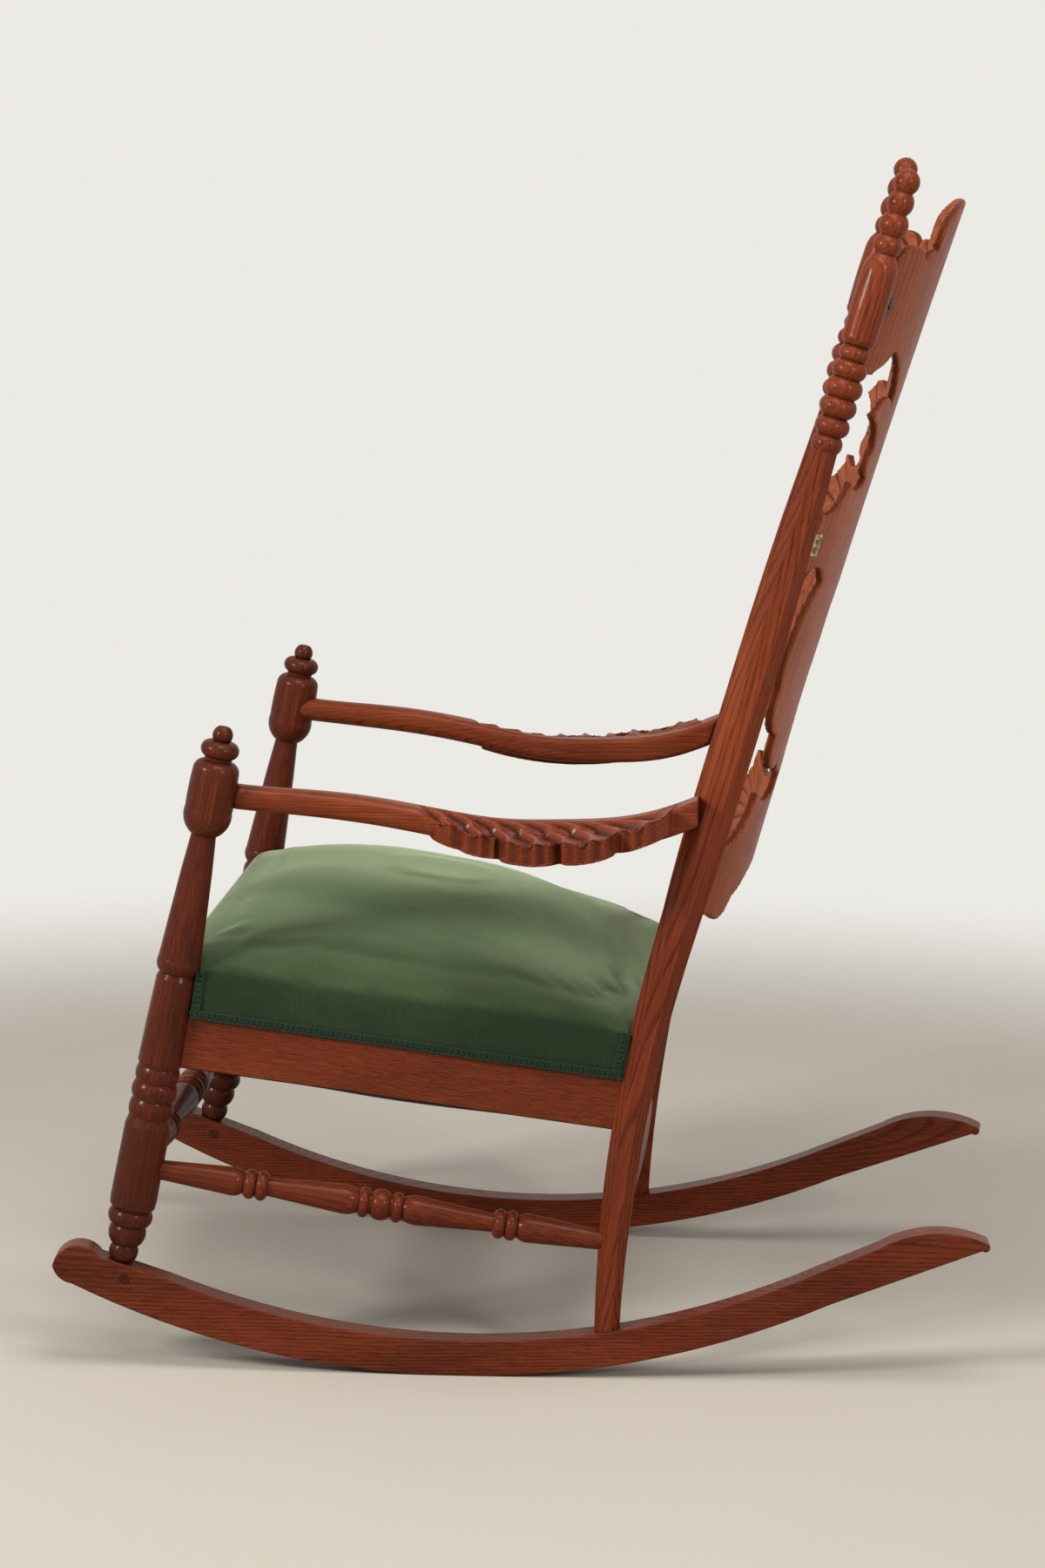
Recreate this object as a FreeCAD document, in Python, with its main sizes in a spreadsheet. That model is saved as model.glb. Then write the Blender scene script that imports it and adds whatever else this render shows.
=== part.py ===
import FreeCAD
import Part
import Sketcher
import math
import os
from FreeCAD import Placement, Rotation, Vector

# Carved rocking chair, about 1900: oak frame on two rockers, turned front posts and stretchers,
# bent rear posts with turned finials, scalloped arms, a bent and pierced back board and a sprung
# velvet seat. Millimetres, +Z up. The chair faces -Y and +X is the sitter's left. The origin lies
# on the floor at the middle of the outer box.

# Driving dimensions: name, value, meaning.
SIZES = [
    ("RockerThickness", 29, "rocker board, across"),
    ("RockerSole", 874, "radius of the rocker's sole"),
    ("RockerBack", 805, "radius of the rocker's upper edge"),
    ("RockerSoleY", -63, "where the sole touches the floor, along Y"),
    ("RockerBackY", -51, "lowest point of the upper edge, along Y"),
    ("RockerDepth", 35.5, "height of the upper edge at its lowest point"),
    ("RockerWear", 0.5, "height worn off the sole where it stands"),
    ("RockerHalfFront", 290, "half spacing of the rockers under the front posts"),
    ("RockerFrontY", -388, "where that half spacing is taken"),
    ("RockerToeIn", 3.92, "angle of each rocker in plan"),
    ("FrontHalf", 289, "half spacing of the front posts"),
    ("FrontTopY", -294, "front post's top, along Y"),
    ("FrontTopZ", 642, "front post's top, height"),
    ("FrontLength", 549, "front post's length above the rocker"),
    ("FrontLean", 10.47, "front post's lean to the rear"),
    ("FootTenon", 22, "length of the post tenons in the rockers"),
    ("FootRadius", 10, "radius of the front post's tenon"),
    ("HeelRadius", 8, "radius of the rear post's tenon"),
    ("RearBeadY", 275.4, "middle of the rear post's lowest bead, along Y"),
    ("RearBeadZ", 923.3, "middle of that bead, height"),
    ("RearBeadHalf", 228.8, "half spacing of the rear posts at that bead"),
    ("RearRake", 15.35, "rake of the straight part of the rear post"),
    ("RearSplay", 1.88, "lean of each rear post towards the other"),
    ("RearBendDrop", 511, "from the lowest bead down to where the bend starts"),
    ("RearBendRadius", 1540, "radius of the bend in the rear post"),
    ("SeatY", -347, "front posts' axes at the seat, along Y"),
    ("SeatZ", 357.3, "height of the seat there, at the lower edge of the velvet"),
    ("SeatSlope", 7.43, "fall of the seat to the rear"),
    ("SeatLength", 462, "from the front posts to the rear posts along the seat"),
    ("SeatFrontHalf", 295, "outer face of the side rail at the front post"),
    ("SeatRearHalf", 255, "outer face of the side rail at the rear post"),
    ("RailHeight", 68, "height of the seat rails"),
    ("RailShown", 51, "height of rail below the velvet"),
    ("RailThickness", 22, "thickness of the seat rails"),
    ("FrontRailFace", 8, "outer face of the front rail ahead of the posts' axes"),
    ("TenonThickness", 9, "thickness of the rail tenons"),
    ("TenonHeight", 44, "height of the rail tenons"),
    ("TenonInset", 3, "rail tenon behind the outer face"),
    ("StretcherEnd", 9.8, "radius of a stretcher where it enters a post"),
    ("StretcherTenon", 16, "depth of the stretchers in the posts"),
    ("SideStretcherFrontZ", 202, "side stretcher at the front post, height"),
    ("SideStretcherRearZ", 135, "side stretcher at the rear post, height"),
    ("FrontStretcherZ", 208, "front stretcher, height"),
    ("RearStretcherZ", 158, "rear stretcher, height"),
    ("ArmTenon", 9, "radius of the arm's tenon in the front post"),
    ("ArmDowel", 5, "radius of the dowel between arm and rear post"),
    ("FanThickness", 24, "thickness of the arm's carved fan"),
    ("BoardThickness", 9, "thickness of the back board"),
    ("BoardHalf", 215, "half width over which the bow of the back board is taken"),
    ("BoardEdge", 11, "rear face of the board at that width, behind the posts' axes"),
    ("BoardBow", 56, "rear face of the board at its middle, behind the posts' axes"),
    ("CrestBow", 65.5, "the same in the crest, which is bent further back"),
    ("CoverThickness", 3, "velvet with its wadding"),
    ("DeckThickness", 1.2, "thickness of the burlap over the springs"),
    ("BraidWidth", 9, "width of the braid"),
    ("BraidThickness", 1.5, "thickness of the braid"),
    ("BraidRise", 46, "top of the braid beside the posts, above the rails' shown edge"),
    ("FrontPostGap", 22.6, "radius kept clear of the upholstery round the front posts' axes"),
    ("RearPostGap", 21.4, "the same round the rear posts' axes"),
    ("CrownHeight", 107, "height of the cushion above the rails"),
    ("StrapWidth", 52, "width of the webbing straps"),
    ("StrapThickness", 1.5, "thickness of the webbing straps"),
    ("StrapSag", 38, "sag of the webbing at its middle"),
    ("DustSag", 44, "sag of the cloth under the seat"),
    ("DustThickness", 1.2, "thickness of the cloth under the seat"),
    ("SpringRadius", 34, "radius of the seat springs"),
    ("SpringWire", 2.2, "radius of the spring wire"),
    ("SpringTurns", 3.5, "turns of each seat spring"),
    ("BlockLeg", 58, "leg of the corner blocks"),
    ("BlockHeight", 38, "height of the corner blocks"),
    ("ScrewRadius", 2, "radius of the screw shanks"),
    ("ScrewHead", 3.6, "radius of the screw heads"),
    ("ScrewHeadHeight", 1.6, "height of the screw heads"),
    ("BracketThickness", 1.5, "thickness of the brackets that hold the back board"),
    ("PinRadius", 5.5, "radius of the rocker pins"),
    ("Easing", 1.3, "radius of the eased edges of rockers and seat rails"),
]

LEFT, RIGHT = 1, -1
SIDES = {"left": LEFT, "right": RIGHT}
ACROSS, DEPTH, UP = Vector(1, 0, 0), Vector(0, 1, 0), Vector(0, 0, 1)

doc = FreeCAD.newDocument("CarvedRockingChair")
sheet = doc.addObject("Spreadsheet::Sheet", "Sizes")
for row, (alias, value, meaning) in enumerate(SIZES, start=1):
    sheet.set(f"A{row}", alias)
    sheet.set(f"B{row}", str(value))
    sheet.set(f"C{row}", meaning)
    sheet.setAlias(f"B{row}", alias)
doc.recompute()

nodes = {}


def size(alias):
    """Value of a driving dimension."""
    return float(sheet.get(alias))


def bind(item, **cells):
    """Binds properties of an object to expressions over the sheet."""
    for name, expression in cells.items():
        item.setExpression(name, expression)
    return item


def add(kind, name, placement=Placement(), **properties):
    """Adds an object with its properties and its placement."""
    item = doc.addObject(kind, name)
    for key, value in properties.items():
        setattr(item, key, value)
    item.Placement = placement
    return item


def solid(name, shape, placement=Placement()):
    """Adds a shape that no ready-made object has."""
    item = doc.addObject("Part::Feature", name)
    item.Shape = shape
    item.Placement = placement
    return item


def keep(label, item):
    """Names an object and lists it as a finished node."""
    item.Label = label
    nodes[label] = item
    return item


def cut(name, base, *tools):
    """Base less every tool."""
    for tool in tools:
        base = add("Part::Cut", f"{name}_cut", Base=base, Tool=tool)
    return base


def fuse(name, *pieces):
    """Union of overlapping pieces."""
    return add("Part::MultiFuse", f"{name}_fused", Shapes=list(pieces), Refine=True)


def group(name, pieces):
    """Separate solids that share one node."""
    return add("Part::Compound", f"{name}_group", Links=list(pieces))


def box(name, placement, **cells):
    """Box whose sides are bound to the sheet."""
    return bind(add("Part::Box", name, placement), **cells)


def rod(name, start, end, radius):
    """Round rod from one point to another."""
    stand = Placement(start, Rotation(UP, end - start))
    item = add("Part::Cylinder", name, stand, Height=(end - start).Length)
    return bind(item, Radius=radius)


class Outline:
    """A closed outline of lines and arcs, drawn point by point."""

    def __init__(self, x, y):
        self.first = self.last = Vector(x, y, 0)
        self.edges = []

    def line(self, x, y):
        """Straight to a point."""
        end = Vector(x, y, 0)
        self.edges.append(Part.LineSegment(self.last, end))
        self.last = end
        return self

    def arc(self, via_x, via_y, x, y):
        """Round through one point to another."""
        end = Vector(x, y, 0)
        self.edges.append(Part.Arc(self.last, Vector(via_x, via_y, 0), end))
        self.last = end
        return self

    def bead(self, height, root, crest):
        """A turned bead up to a height, over a crest radius to a root radius."""
        return self.arc(crest, (self.last.y + height) / 2, root, height)

    def beads(self, steps):
        """Several turned beads, each given as height, root and crest."""
        for step in steps:
            self.bead(*step)
        return self

    def close(self):
        """Straight back to the first point."""
        if self.last.distanceToPoint(self.first) > 1e-6:
            self.line(self.first.x, self.first.y)
        return self

    def wire(self):
        """The outline as a wire."""
        return Part.Wire([edge.toShape() for edge in self.close().edges])

    def draw(self, sketch):
        """Puts the outline in a sketch with its ends joined."""
        for edge in self.close().edges:
            sketch.addGeometry(edge)
        count = len(self.edges)
        for index in range(count):
            join_ends(sketch, index, (index + 1) % count)


def join_ends(sketch, first, second):
    """Makes the ends that two edges share coincident."""
    for end in (2, 1):
        for start in (1, 2):
            gap = sketch.getPoint(first, end).distanceToPoint(sketch.getPoint(second, start))
            if gap < 1e-6:
                sketch.addConstraint(Sketcher.Constraint("Coincident", first, end, second, start))
                return


def sketched(name, outline, role):
    """Body whose first feature is an outline on one of its own planes."""
    body = doc.addObject("PartDesign::Body", name)
    plane = next(item for item in body.Origin.OriginFeatures if item.Role == role)
    sketch = body.newObject("Sketcher::SketchObject", f"{name}_sketch")
    sketch.AttachmentSupport = [(plane, "")]
    sketch.MapMode = "FlatFace"
    outline.draw(sketch)
    return body, sketch


def mirror(body, feature, sketch, axis):
    """Adds a feature's mirror image in the plane that stands on a sketch axis."""
    twin = body.newObject("PartDesign::Mirrored", f"{body.Name}_mirror")
    twin.Originals = [feature]
    twin.MirrorPlane = (sketch, [axis])
    body.Tip = twin


def padded(name, outline, length, placement, role="XY_Plane", mirrored=None):
    """Outline padded both ways by half a length, with its mirror image if an axis is named."""
    body, sketch = sketched(name, outline, role)
    pad = body.newObject("PartDesign::Pad", f"{name}_pad")
    pad.Profile = sketch
    pad.SideType = "Symmetric"
    bind(pad, Length=length)
    if mirrored:
        mirror(body, pad, sketch, mirrored)
    body.Placement = placement
    return body


def turned(name, outline, placement, mirrored=False):
    """Outline of radius and height turned on a lathe, with its mirror image if asked."""
    body, sketch = sketched(name, outline, "XZ_Plane")
    turning = body.newObject("PartDesign::Revolution", f"{name}_turning")
    turning.Profile = sketch
    turning.ReferenceAxis = (sketch, ["V_Axis"])
    turning.Angle = 360
    if mirrored:
        mirror(body, turning, sketch, "H_Axis")
    body.Placement = placement
    return body


def eased_board(body):
    """Rounds the edges of a padded board's two broad faces."""
    doc.recompute()
    blank = body.Tip
    faces = blank.Shape.Faces
    broad = sorted(range(len(faces)), key=lambda index: faces[index].Area)[-2:]
    easing = body.newObject("PartDesign::Fillet", f"{body.Name}_easing")
    easing.Base = (blank, [f"Face{index + 1}" for index in broad])
    bind(easing, Radius="Sizes.Easing")
    return body


def eased_rail(rail, along):
    """Rounds the four long edges of a rail."""
    doc.recompute()
    edges = []
    for index, edge in enumerate(rail.Shape.Edges):
        if abs(edge.tangentAt(edge.FirstParameter).dot(along)) > 0.99:
            edges.append((index + 1, size("Easing"), size("Easing")))
    return add("Part::Fillet", f"{rail.Name}_eased", Base=rail, Edges=edges)


# Frames of the leaning parts

def front_frame(side):
    """Front post: local Z up its axis, from its foot on the rocker."""
    lean = Rotation(ACROSS, -size("FrontLean"))
    top = Vector(side * size("FrontHalf"), size("FrontTopY"), size("FrontTopZ"))
    return Placement(top - lean.multVec(UP) * size("FrontLength"), lean)


def front_axis(side, height):
    """Point of a front post's axis at a height."""
    back = (size("FrontTopZ") - height) * math.tan(math.radians(size("FrontLean")))
    return Vector(side * size("FrontHalf"), size("FrontTopY") - back, height)


def back_frame():
    """Back board: local Z up the rake of the back, local Y behind the posts' axes."""
    return Placement(Vector(0, size("RearBeadY"), size("RearBeadZ")), Rotation(ACROSS, -size("RearRake")))


def rear_frame(side):
    """Rear post: local Z up its straight part, from the middle of its lowest bead."""
    splay = Rotation(DEPTH, -side * size("RearSplay"))
    bead = Vector(side * size("RearBeadHalf"), size("RearBeadY"), size("RearBeadZ"))
    return Placement(bead, splay * Rotation(ACROSS, -size("RearRake")))


def rear_section(down):
    """Place of a rear post's section, at a length down its axis from the lowest bead."""
    straight, reach = size("RearBendDrop"), size("RearBendRadius")
    if down <= straight:
        return Placement(Vector(0, 0, -down), Rotation())
    bend = (down - straight) / reach
    point = Vector(0, reach * (1 - math.cos(bend)), -straight - reach * math.sin(bend))
    return Placement(point, Rotation(ACROSS, math.degrees(bend)))


def rear_axis(side, height):
    """Point of a rear post's axis at a height, found by halving."""
    near, far = 0.0, 930.0
    while far - near > 0.01:
        middle = (near + far) / 2
        if (rear_frame(side) * rear_section(middle)).Base.z > height:
            near = middle
        else:
            far = middle
    return (rear_frame(side) * rear_section(near)).Base


def seat_frame():
    """Seat: local Y to the rear along it, local Z square to it, from the front posts' axes."""
    return Placement(Vector(0, size("SeatY"), size("SeatZ")), Rotation(ACROSS, -size("SeatSlope")))


def rocker_frame(side):
    """Rocker board: local X along it to the rear, local Y up and local Z across."""
    stand = Rotation(DEPTH, UP, ACROSS, "XYZ")
    turn = Rotation(UP, side * size("RockerToeIn")) * stand
    front = Vector(side * size("RockerHalfFront"), size("RockerFrontY"), 0)
    return Placement(front, turn) * Placement(Vector(-size("RockerFrontY"), 0, 0), Rotation())


# Outlines

def rocker_outline():
    """Side of a rocker: worn sole, rounded nose, seat of the front post and swept tail."""
    sole, back = size("RockerSole"), size("RockerBack")
    foot, low = size("RockerSoleY"), size("RockerBackY")
    wear, depth = size("RockerWear"), size("RockerDepth")
    flat = math.sqrt(sole ** 2 - (sole - wear) ** 2)
    nose, shoulder, tail, rise = -441, -345, 304, 291

    def under(y):
        return sole - wear - math.sqrt(sole ** 2 - (y - foot) ** 2)

    def over(y):
        return depth + back - math.sqrt(back ** 2 - (y - low) ** 2)

    side = Outline(foot - flat, 0).line(foot + flat, 0)
    side.arc(180, under(180), tail, under(tail)).line(452, 138)
    side.arc(459.5, 141, 456, 146).arc(418, 155, 352, 139).line(rise, over(rise))
    side.arc(low, depth, shoulder, over(shoulder)).line(-413, 113)
    side.arc(-438, 124, -460, 103).arc(-455, 93, nose, under(nose))
    return side.arc(-260, under(-260), foot - flat, 0)


def front_post_outline():
    """Half section of a front post, from its tenon in the rocker up to its button."""
    tenon, radius = size("FootTenon"), size("FootRadius")
    half = Outline(0, -tenon).line(radius, -tenon).line(radius, 4)
    half.beads([(21, 12.6, 14.4), (41, 16.8, 18.4), (58, 19.4, 21.9)])
    half.line(22.4, 62).line(23, 70).line(22.5, 145).line(20.2, 153.5)
    half.beads([(171.5, 19.8, 22), (189.5, 19.8, 22.6), (205, 20, 21.9)])
    half.line(21.8, 210).line(20.7, 254).line(19.4, 295).line(17.2, 300)
    half.arc(20, 303.5, 21, 315).line(15.4, 402).line(12.2, 440)
    half.arc(20.6, 449, 23.2, 466).arc(23.4, 486, 22.6, 504).arc(20, 511, 13.4, 514.5)
    half.line(13.4, 517.5).bead(533.5, 8, 18.8)
    return half.arc(9.8, 541.5, 5.5, 548).line(0, size("FrontLength"))


def finial_outline():
    """Half section of the turned top of a rear post: beads, a long barrel, beads and a ball."""
    half = Outline(0, -16).line(11, -16).line(12.2, -8)
    half.beads([(7.9, 11.4, 15.3), (26, 11.8, 17), (45.4, 13.1, 18.1), (64.5, 12.7, 18.3)])
    half.beads([(81.9, 11.5, 17.2), (96.6, 11.1, 15.2)])
    half.arc(15.2, 99.5, 16.8, 106).arc(17.4, 138, 16.8, 170).arc(15, 179, 10.3, 187)
    half.beads([(204.8, 9.7, 13.9), (226.6, 9, 14), (247.6, 8.6, 12.9)])
    return half.arc(12.5, 258.6, 4, 269.6).line(0, 270.4)


def stretcher_outline(reach, fatness):
    """Half section of half a stretcher: ball, ring, swell, two rings and a second swell."""
    taper = (reach - 83) / 2
    neck = 40 + taper
    middle = Outline(0, 0).line(15.4 * fatness, 0).arc(14.2 * fatness, 6, 10.8 * fatness, 9.6)
    middle.line(10.8 * fatness, 11.4).bead(21.8, 11 * fatness, 15.2 * fatness)
    middle.arc(13.9 * fatness, 29, 14.5 * fatness, 40).line(9.4 * fatness, neck)
    middle.line(9.4 * fatness, neck + 5)
    middle.bead(neck + 17, 11.2 * fatness, 14.9 * fatness).bead(neck + 29, 10.5 * fatness, 14.9 * fatness)
    middle.arc(13.6 * fatness, neck + 35, 14.1 * fatness, neck + 43)
    end, tenon = size("StretcherEnd"), reach + size("StretcherTenon")
    return middle.line(end, reach).line(end, tenon).line(0, tenon)


def plain_stretcher_outline(reach):
    """Half section of half a plain stretcher, thickest at its middle."""
    end, tenon = size("StretcherEnd"), reach + size("StretcherTenon")
    return Outline(0, 0).line(14, 0).arc(13, reach / 2, end, reach).line(end, tenon).line(0, tenon)


def fan_outline():
    """Plan of the fan on an arm, X outward: four lobes between deep notches."""
    fan = Outline(262, -96).arc(281, -92, 296, -66).arc(311, -50, 309, -27).line(303, -24)
    fan.arc(322, -22, 333, -4).arc(338, 14, 325, 33).line(315, 35)
    fan.arc(333, 38, 341, 52).arc(337, 74, 314, 87).line(302, 88)
    fan.arc(318, 97, 317, 112).arc(306, 130, 281, 138)
    return fan.line(262, 142)


def fan_band():
    """Side of the fan, along Y and up: the dip of the arm at one thickness."""
    thick = size("FanThickness")
    band = Outline(-110, 565 - thick).arc(20, 547 - thick, 150, 580 - thick)
    return band.line(150, 580).arc(20, 547, -110, 565)


def board_outline():
    """Left half of the back board: crest, top wing, leaf tip, middle wing, waist and foot."""
    half = Outline(0, 250).arc(56, 246, 92, 233).arc(105, 217, 101, 194)
    half.arc(120, 199, 137, 186).arc(172, 201, 213, 174).line(213, 97)
    half.arc(202, 73, 178, 76).arc(160, 83, 143, 96).arc(104, 76, 78, 38)
    half.arc(111, 49, 143, 28).arc(116, 15, 102, -4).arc(110, -20, 86, -31)
    half.arc(123, -46, 145, -37).arc(167, -63, 200, -70).line(206, -92).line(206, -137)
    half.arc(174, -124, 140, -141).arc(172, -198, 167, -256).arc(153, -292, 130, -300)
    half.arc(128, -322, 84, -334).arc(60, -347, 34, -345).arc(27, -356, 36, -369)
    half.arc(84, -374, 132, -360).arc(158, -400, 190, -412).line(226, -414).line(226, -486)
    half.arc(190, -483, 156, -491).arc(134, -490, 114, -473)
    return half.arc(95, -468, 75, -461).arc(38, -452, 0, -452)


def board_slot():
    """Left half of the long hole in the middle of the back board."""
    return Outline(0, -150).arc(30, -165, 37, -205).arc(48, -260, 34, -318).arc(20, -334, 0, -330)


# Frame of the chair

def board_arc(bow):
    """Radius of the back board's rear face and where its centre lies, for a bow."""
    rise = bow - size("BoardEdge")
    radius = (size("BoardHalf") ** 2 + rise ** 2) / (2 * rise)
    return radius, bow - radius


def board_section(height, bow):
    """Bent section of the back board at a height along it."""
    radius, centre = board_arc(bow)
    inner = radius - size("BoardThickness")
    turn = math.asin(234 / radius)
    sine, cosine = math.sin(turn), math.cos(turn)
    section = Outline(-radius * sine, centre + radius * cosine)
    section.arc(0, centre + radius, radius * sine, centre + radius * cosine)
    section.line(inner * sine, centre + inner * cosine)
    section.arc(0, centre + inner, -inner * sine, centre + inner * cosine)
    return solid("board_section", section.wire(), back_frame() * Placement(Vector(0, 0, height), Rotation()))


def bent_board():
    """Back board: a bent sheet of wood cut to its outline, with the hole in its middle."""
    levels = ((-530, size("BoardBow")), (20, size("BoardBow") + 2), (270, size("CrestBow")))
    sections = [board_section(height, bow) for height, bow in levels]
    sheet_of_wood = add("Part::Loft", "bent_sheet", Sections=sections, Solid=True, Ruled=False)
    depth = "4 * Sizes.CrestBow"
    outline = padded("board_outline", board_outline(), depth, back_frame(), "XZ_Plane", "V_Axis")
    slot = padded("board_slot", board_slot(), depth, back_frame(), "XZ_Plane", "V_Axis")
    board = add("Part::Common", "board_blank", Base=sheet_of_wood, Tool=outline)
    return cut("board", board, slot)


def rear_post_blank(side):
    """Bent eight-sided leg and stile under the turned finial."""
    widths = ((4, 12.3), (76, 15.2), (160, 18.2), (242, 19.6), (439, 19.8), (594, 17.2), (706, 16))
    sections = []
    for down, half_width in widths + ((812, 14.1), (915, 12.1)):
        corner = Placement(Vector(), Rotation(UP, 22.5))
        place = rear_frame(side) * rear_section(down) * corner
        reach = half_width / math.cos(math.radians(22.5))
        sections.append(add("Part::RegularPolygon", "octagon", place, Polygon=8, Circumradius=reach))
    leg = add("Part::Loft", "rear_leg", Sections=sections, Solid=True, Ruled=False)
    finial = turned("finial", finial_outline(), rear_frame(side))
    return fuse("rear_post", leg, finial)


def rear_tenon(side):
    """Round tenon under a rear post."""
    heel = rear_frame(side) * rear_section(894)
    tip = heel.multVec(Vector(0, 0, -size("FootTenon") - 6))
    return rod("rear_tenon", heel.Base, tip, "Sizes.HeelRadius")


def arm_section(x, y, z, width, height, corner):
    """Rounded section of an arm, square to the depth of the chair."""
    a, b, bend = width / 2, height / 2, corner * (1 - math.sqrt(0.5))
    loop = Outline(-a + corner, -b).line(a - corner, -b).arc(a - bend, -b + bend, a, -b + corner)
    loop.line(a, b - corner).arc(a - bend, b - bend, a - corner, b).line(-a + corner, b)
    loop.arc(-a + bend, b - bend, -a, b - corner).line(-a, -b + corner)
    loop.arc(-a + bend, -b + bend, -a + corner, -b)
    return solid("arm_section", loop.wire(), Placement(Vector(x, y, z), Rotation(ACROSS, 90)))


def arm_blank(side):
    """Arm: a rounded bar that dips and turns square, fused with its fan."""
    stations = (
        (280, -300, 574, 26, 26, 12.5), (277, -226, 568, 29, 25, 12), (274, -158, 562, 31, 26, 11.5),
        (270, -90, 551, 34, 25, 9), (263, -20, 541, 38, 25, 7), (260, 50, 542, 38, 26, 6),
        (260, 105, 548.5, 38, 27, 6), (262, 145, 561.5, 38, 27, 5), (263, 163, 569, 38, 27, 5),
    )
    sections = [arm_section(side * x, y, z, w, h, r) for x, y, z, w, h, r in stations]
    bar = add("Part::Loft", "arm_bar", Sections=sections, Solid=True, Ruled=False)
    turn = Placement() if side == LEFT else Placement(Vector(), Rotation(DEPTH, 180))
    plan = padded("fan_plan", fan_outline(), "1400 + Sizes.FanThickness", turn)
    stand = Placement(Vector(), Rotation(DEPTH, UP, ACROSS, "XYZ"))
    band = padded("fan_band", fan_band(), "3 * Sizes.FrontHalf", stand)
    fan = add("Part::Common", "fan", Base=plan, Tool=band)
    return fuse("arm", bar, fan)


def arm_tenon(side):
    """Round tenon of an arm in the bulb of the front post."""
    start = Vector(side * 279, -262, 571)
    return rod("arm_tenon", start, start + Vector(side * 5, -38, 1), "Sizes.ArmTenon")


def arm_dowel(side):
    """Dowel between the end of an arm and the rear post."""
    start = Vector(side * 251, 138, 561)
    return rod("arm_dowel", start, start + Vector(side * -1, 40, 7), "Sizes.ArmDowel")


def rail_turn():
    """Angle of the side rails in the plane of the seat."""
    return math.degrees(math.atan2(size("SeatFrontHalf") - size("SeatRearHalf"), size("SeatLength")))


def beside(side, along, out, height, thickness, lean=0):
    """Place of a box that lies along a side rail, its outer face at a distance out of the rail's."""
    turn = Rotation(UP, 90 + side * rail_turn())
    shift = Vector(along, -out if side == LEFT else out - thickness, height)
    corner = Placement(Vector(side * size("SeatFrontHalf"), 0, 0), turn)
    return seat_frame() * corner * Placement(shift, Rotation(ACROSS, -side * lean))


def side_rail(side):
    """Side rail from post to post, and the tool that leaves its tenons."""
    bottom = -size("RailShown")
    corner = beside(side, 0, 0, bottom, size("RailThickness"))
    blank = box("side_rail", corner, Length="Sizes.SeatLength + 1.5", Width="Sizes.RailThickness",
                Height="Sizes.RailHeight")
    blank = eased_rail(blank, corner.Rotation.multVec(ACROSS))
    place = beside(side, 1, -size("TenonInset"), bottom + 12, size("TenonThickness"))
    tenon = box("side_rail_tenon", place, Length="Sizes.SeatLength", Width="Sizes.TenonThickness",
                Height="Sizes.TenonHeight")
    return blank, tenon


def cross_rail(name, face, half, tenon_half):
    """Front or rear rail square across the seat, and the tool that leaves its tenons."""
    bottom = -size("RailShown")
    corner = seat_frame() * Placement(Vector(-half, face, bottom), Rotation())
    blank = box(name, corner, Width="Sizes.RailThickness", Height="Sizes.RailHeight")
    blank.Length = 2 * half
    blank = eased_rail(blank, ACROSS)
    inner = (size("RailThickness") - size("TenonThickness")) / 2
    place = seat_frame() * Placement(Vector(-tenon_half, face + inner, bottom + 12), Rotation())
    tenon = box(f"{name}_tenon", place, Width="Sizes.TenonThickness", Height="Sizes.TenonHeight")
    tenon.Length = 2 * tenon_half
    return blank, tenon


def stretcher(name, start, end, start_reach, end_reach, fatness):
    """Turned stretcher between two posts' axes, its shoulders at their surfaces."""
    axis = (end - start).normalize()
    first, last = start + axis * start_reach, end - axis * end_reach
    place = Placement((first + last) / 2, Rotation(UP, axis))
    reach = (last - first).Length / 2
    outline = stretcher_outline(reach, fatness) if fatness else plain_stretcher_outline(reach)
    return turned(name, outline, place, mirrored=True)


# Hardware of the back board

def bracket(side, height, reach, inward, outward, forward, tall):
    """Bent metal angle on the board's edge: one leg on the board's rear face, one along the rear post."""
    bow = size("BoardBow") if height < 0 else size("CrestBow")
    radius, centre = board_arc(bow)
    turn = math.asin(reach / radius)
    spot = Vector(side * radius * math.sin(turn), centre + radius * math.cos(turn), height)
    place = back_frame() * Placement(spot, Rotation(UP, -side * math.degrees(turn)))
    start = -inward if side == LEFT else -outward
    leg = box("bracket_leg", place * Placement(Vector(start, 0, -tall / 2), Rotation()),
              Width="Sizes.BracketThickness")
    leg.Length, leg.Height = inward + outward, tall
    edge = outward - size("BracketThickness") if side == LEFT else -outward
    low = size("BracketThickness") - forward
    wing = box("bracket_wing", place * Placement(Vector(edge, low, -tall / 2), Rotation()),
               Length="Sizes.BracketThickness")
    wing.Width, wing.Height = forward, tall
    screws = []
    for offset in SCREW_SPOTS[tall]:
        spot = Vector(side * offset[0], 0, offset[1])
        seat = place * Placement(spot, Rotation(ACROSS, -90))
        screws.append(screw("bracket_screw", seat, 8.5, size("BracketThickness")))
    return fuse("bracket", leg, wing), screws


# Screws of a bracket by its height: distance from the bend and height along the post
SCREW_SPOTS = {17: [(-6, 0)], 22: [(-8, 5), (-8, -5)], 26: [(-12, 6), (-12, -6)]}


def screw(name, place, length, lift):
    """Screw with a domed head: local Z out of the wood, the head's underside lifted off it."""
    head = place.multVec(Vector(0, 0, lift + size("ScrewHeadHeight")))
    under = place.multVec(Vector(0, 0, lift))
    tip = place.multVec(Vector(0, 0, lift - length))
    shank = rod(f"{name}_shank", tip, head, "Sizes.ScrewRadius")
    cap = rod(f"{name}_head", under, head, "Sizes.ScrewHead")
    return fuse(name, shank, cap)


# Upholstery

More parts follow.
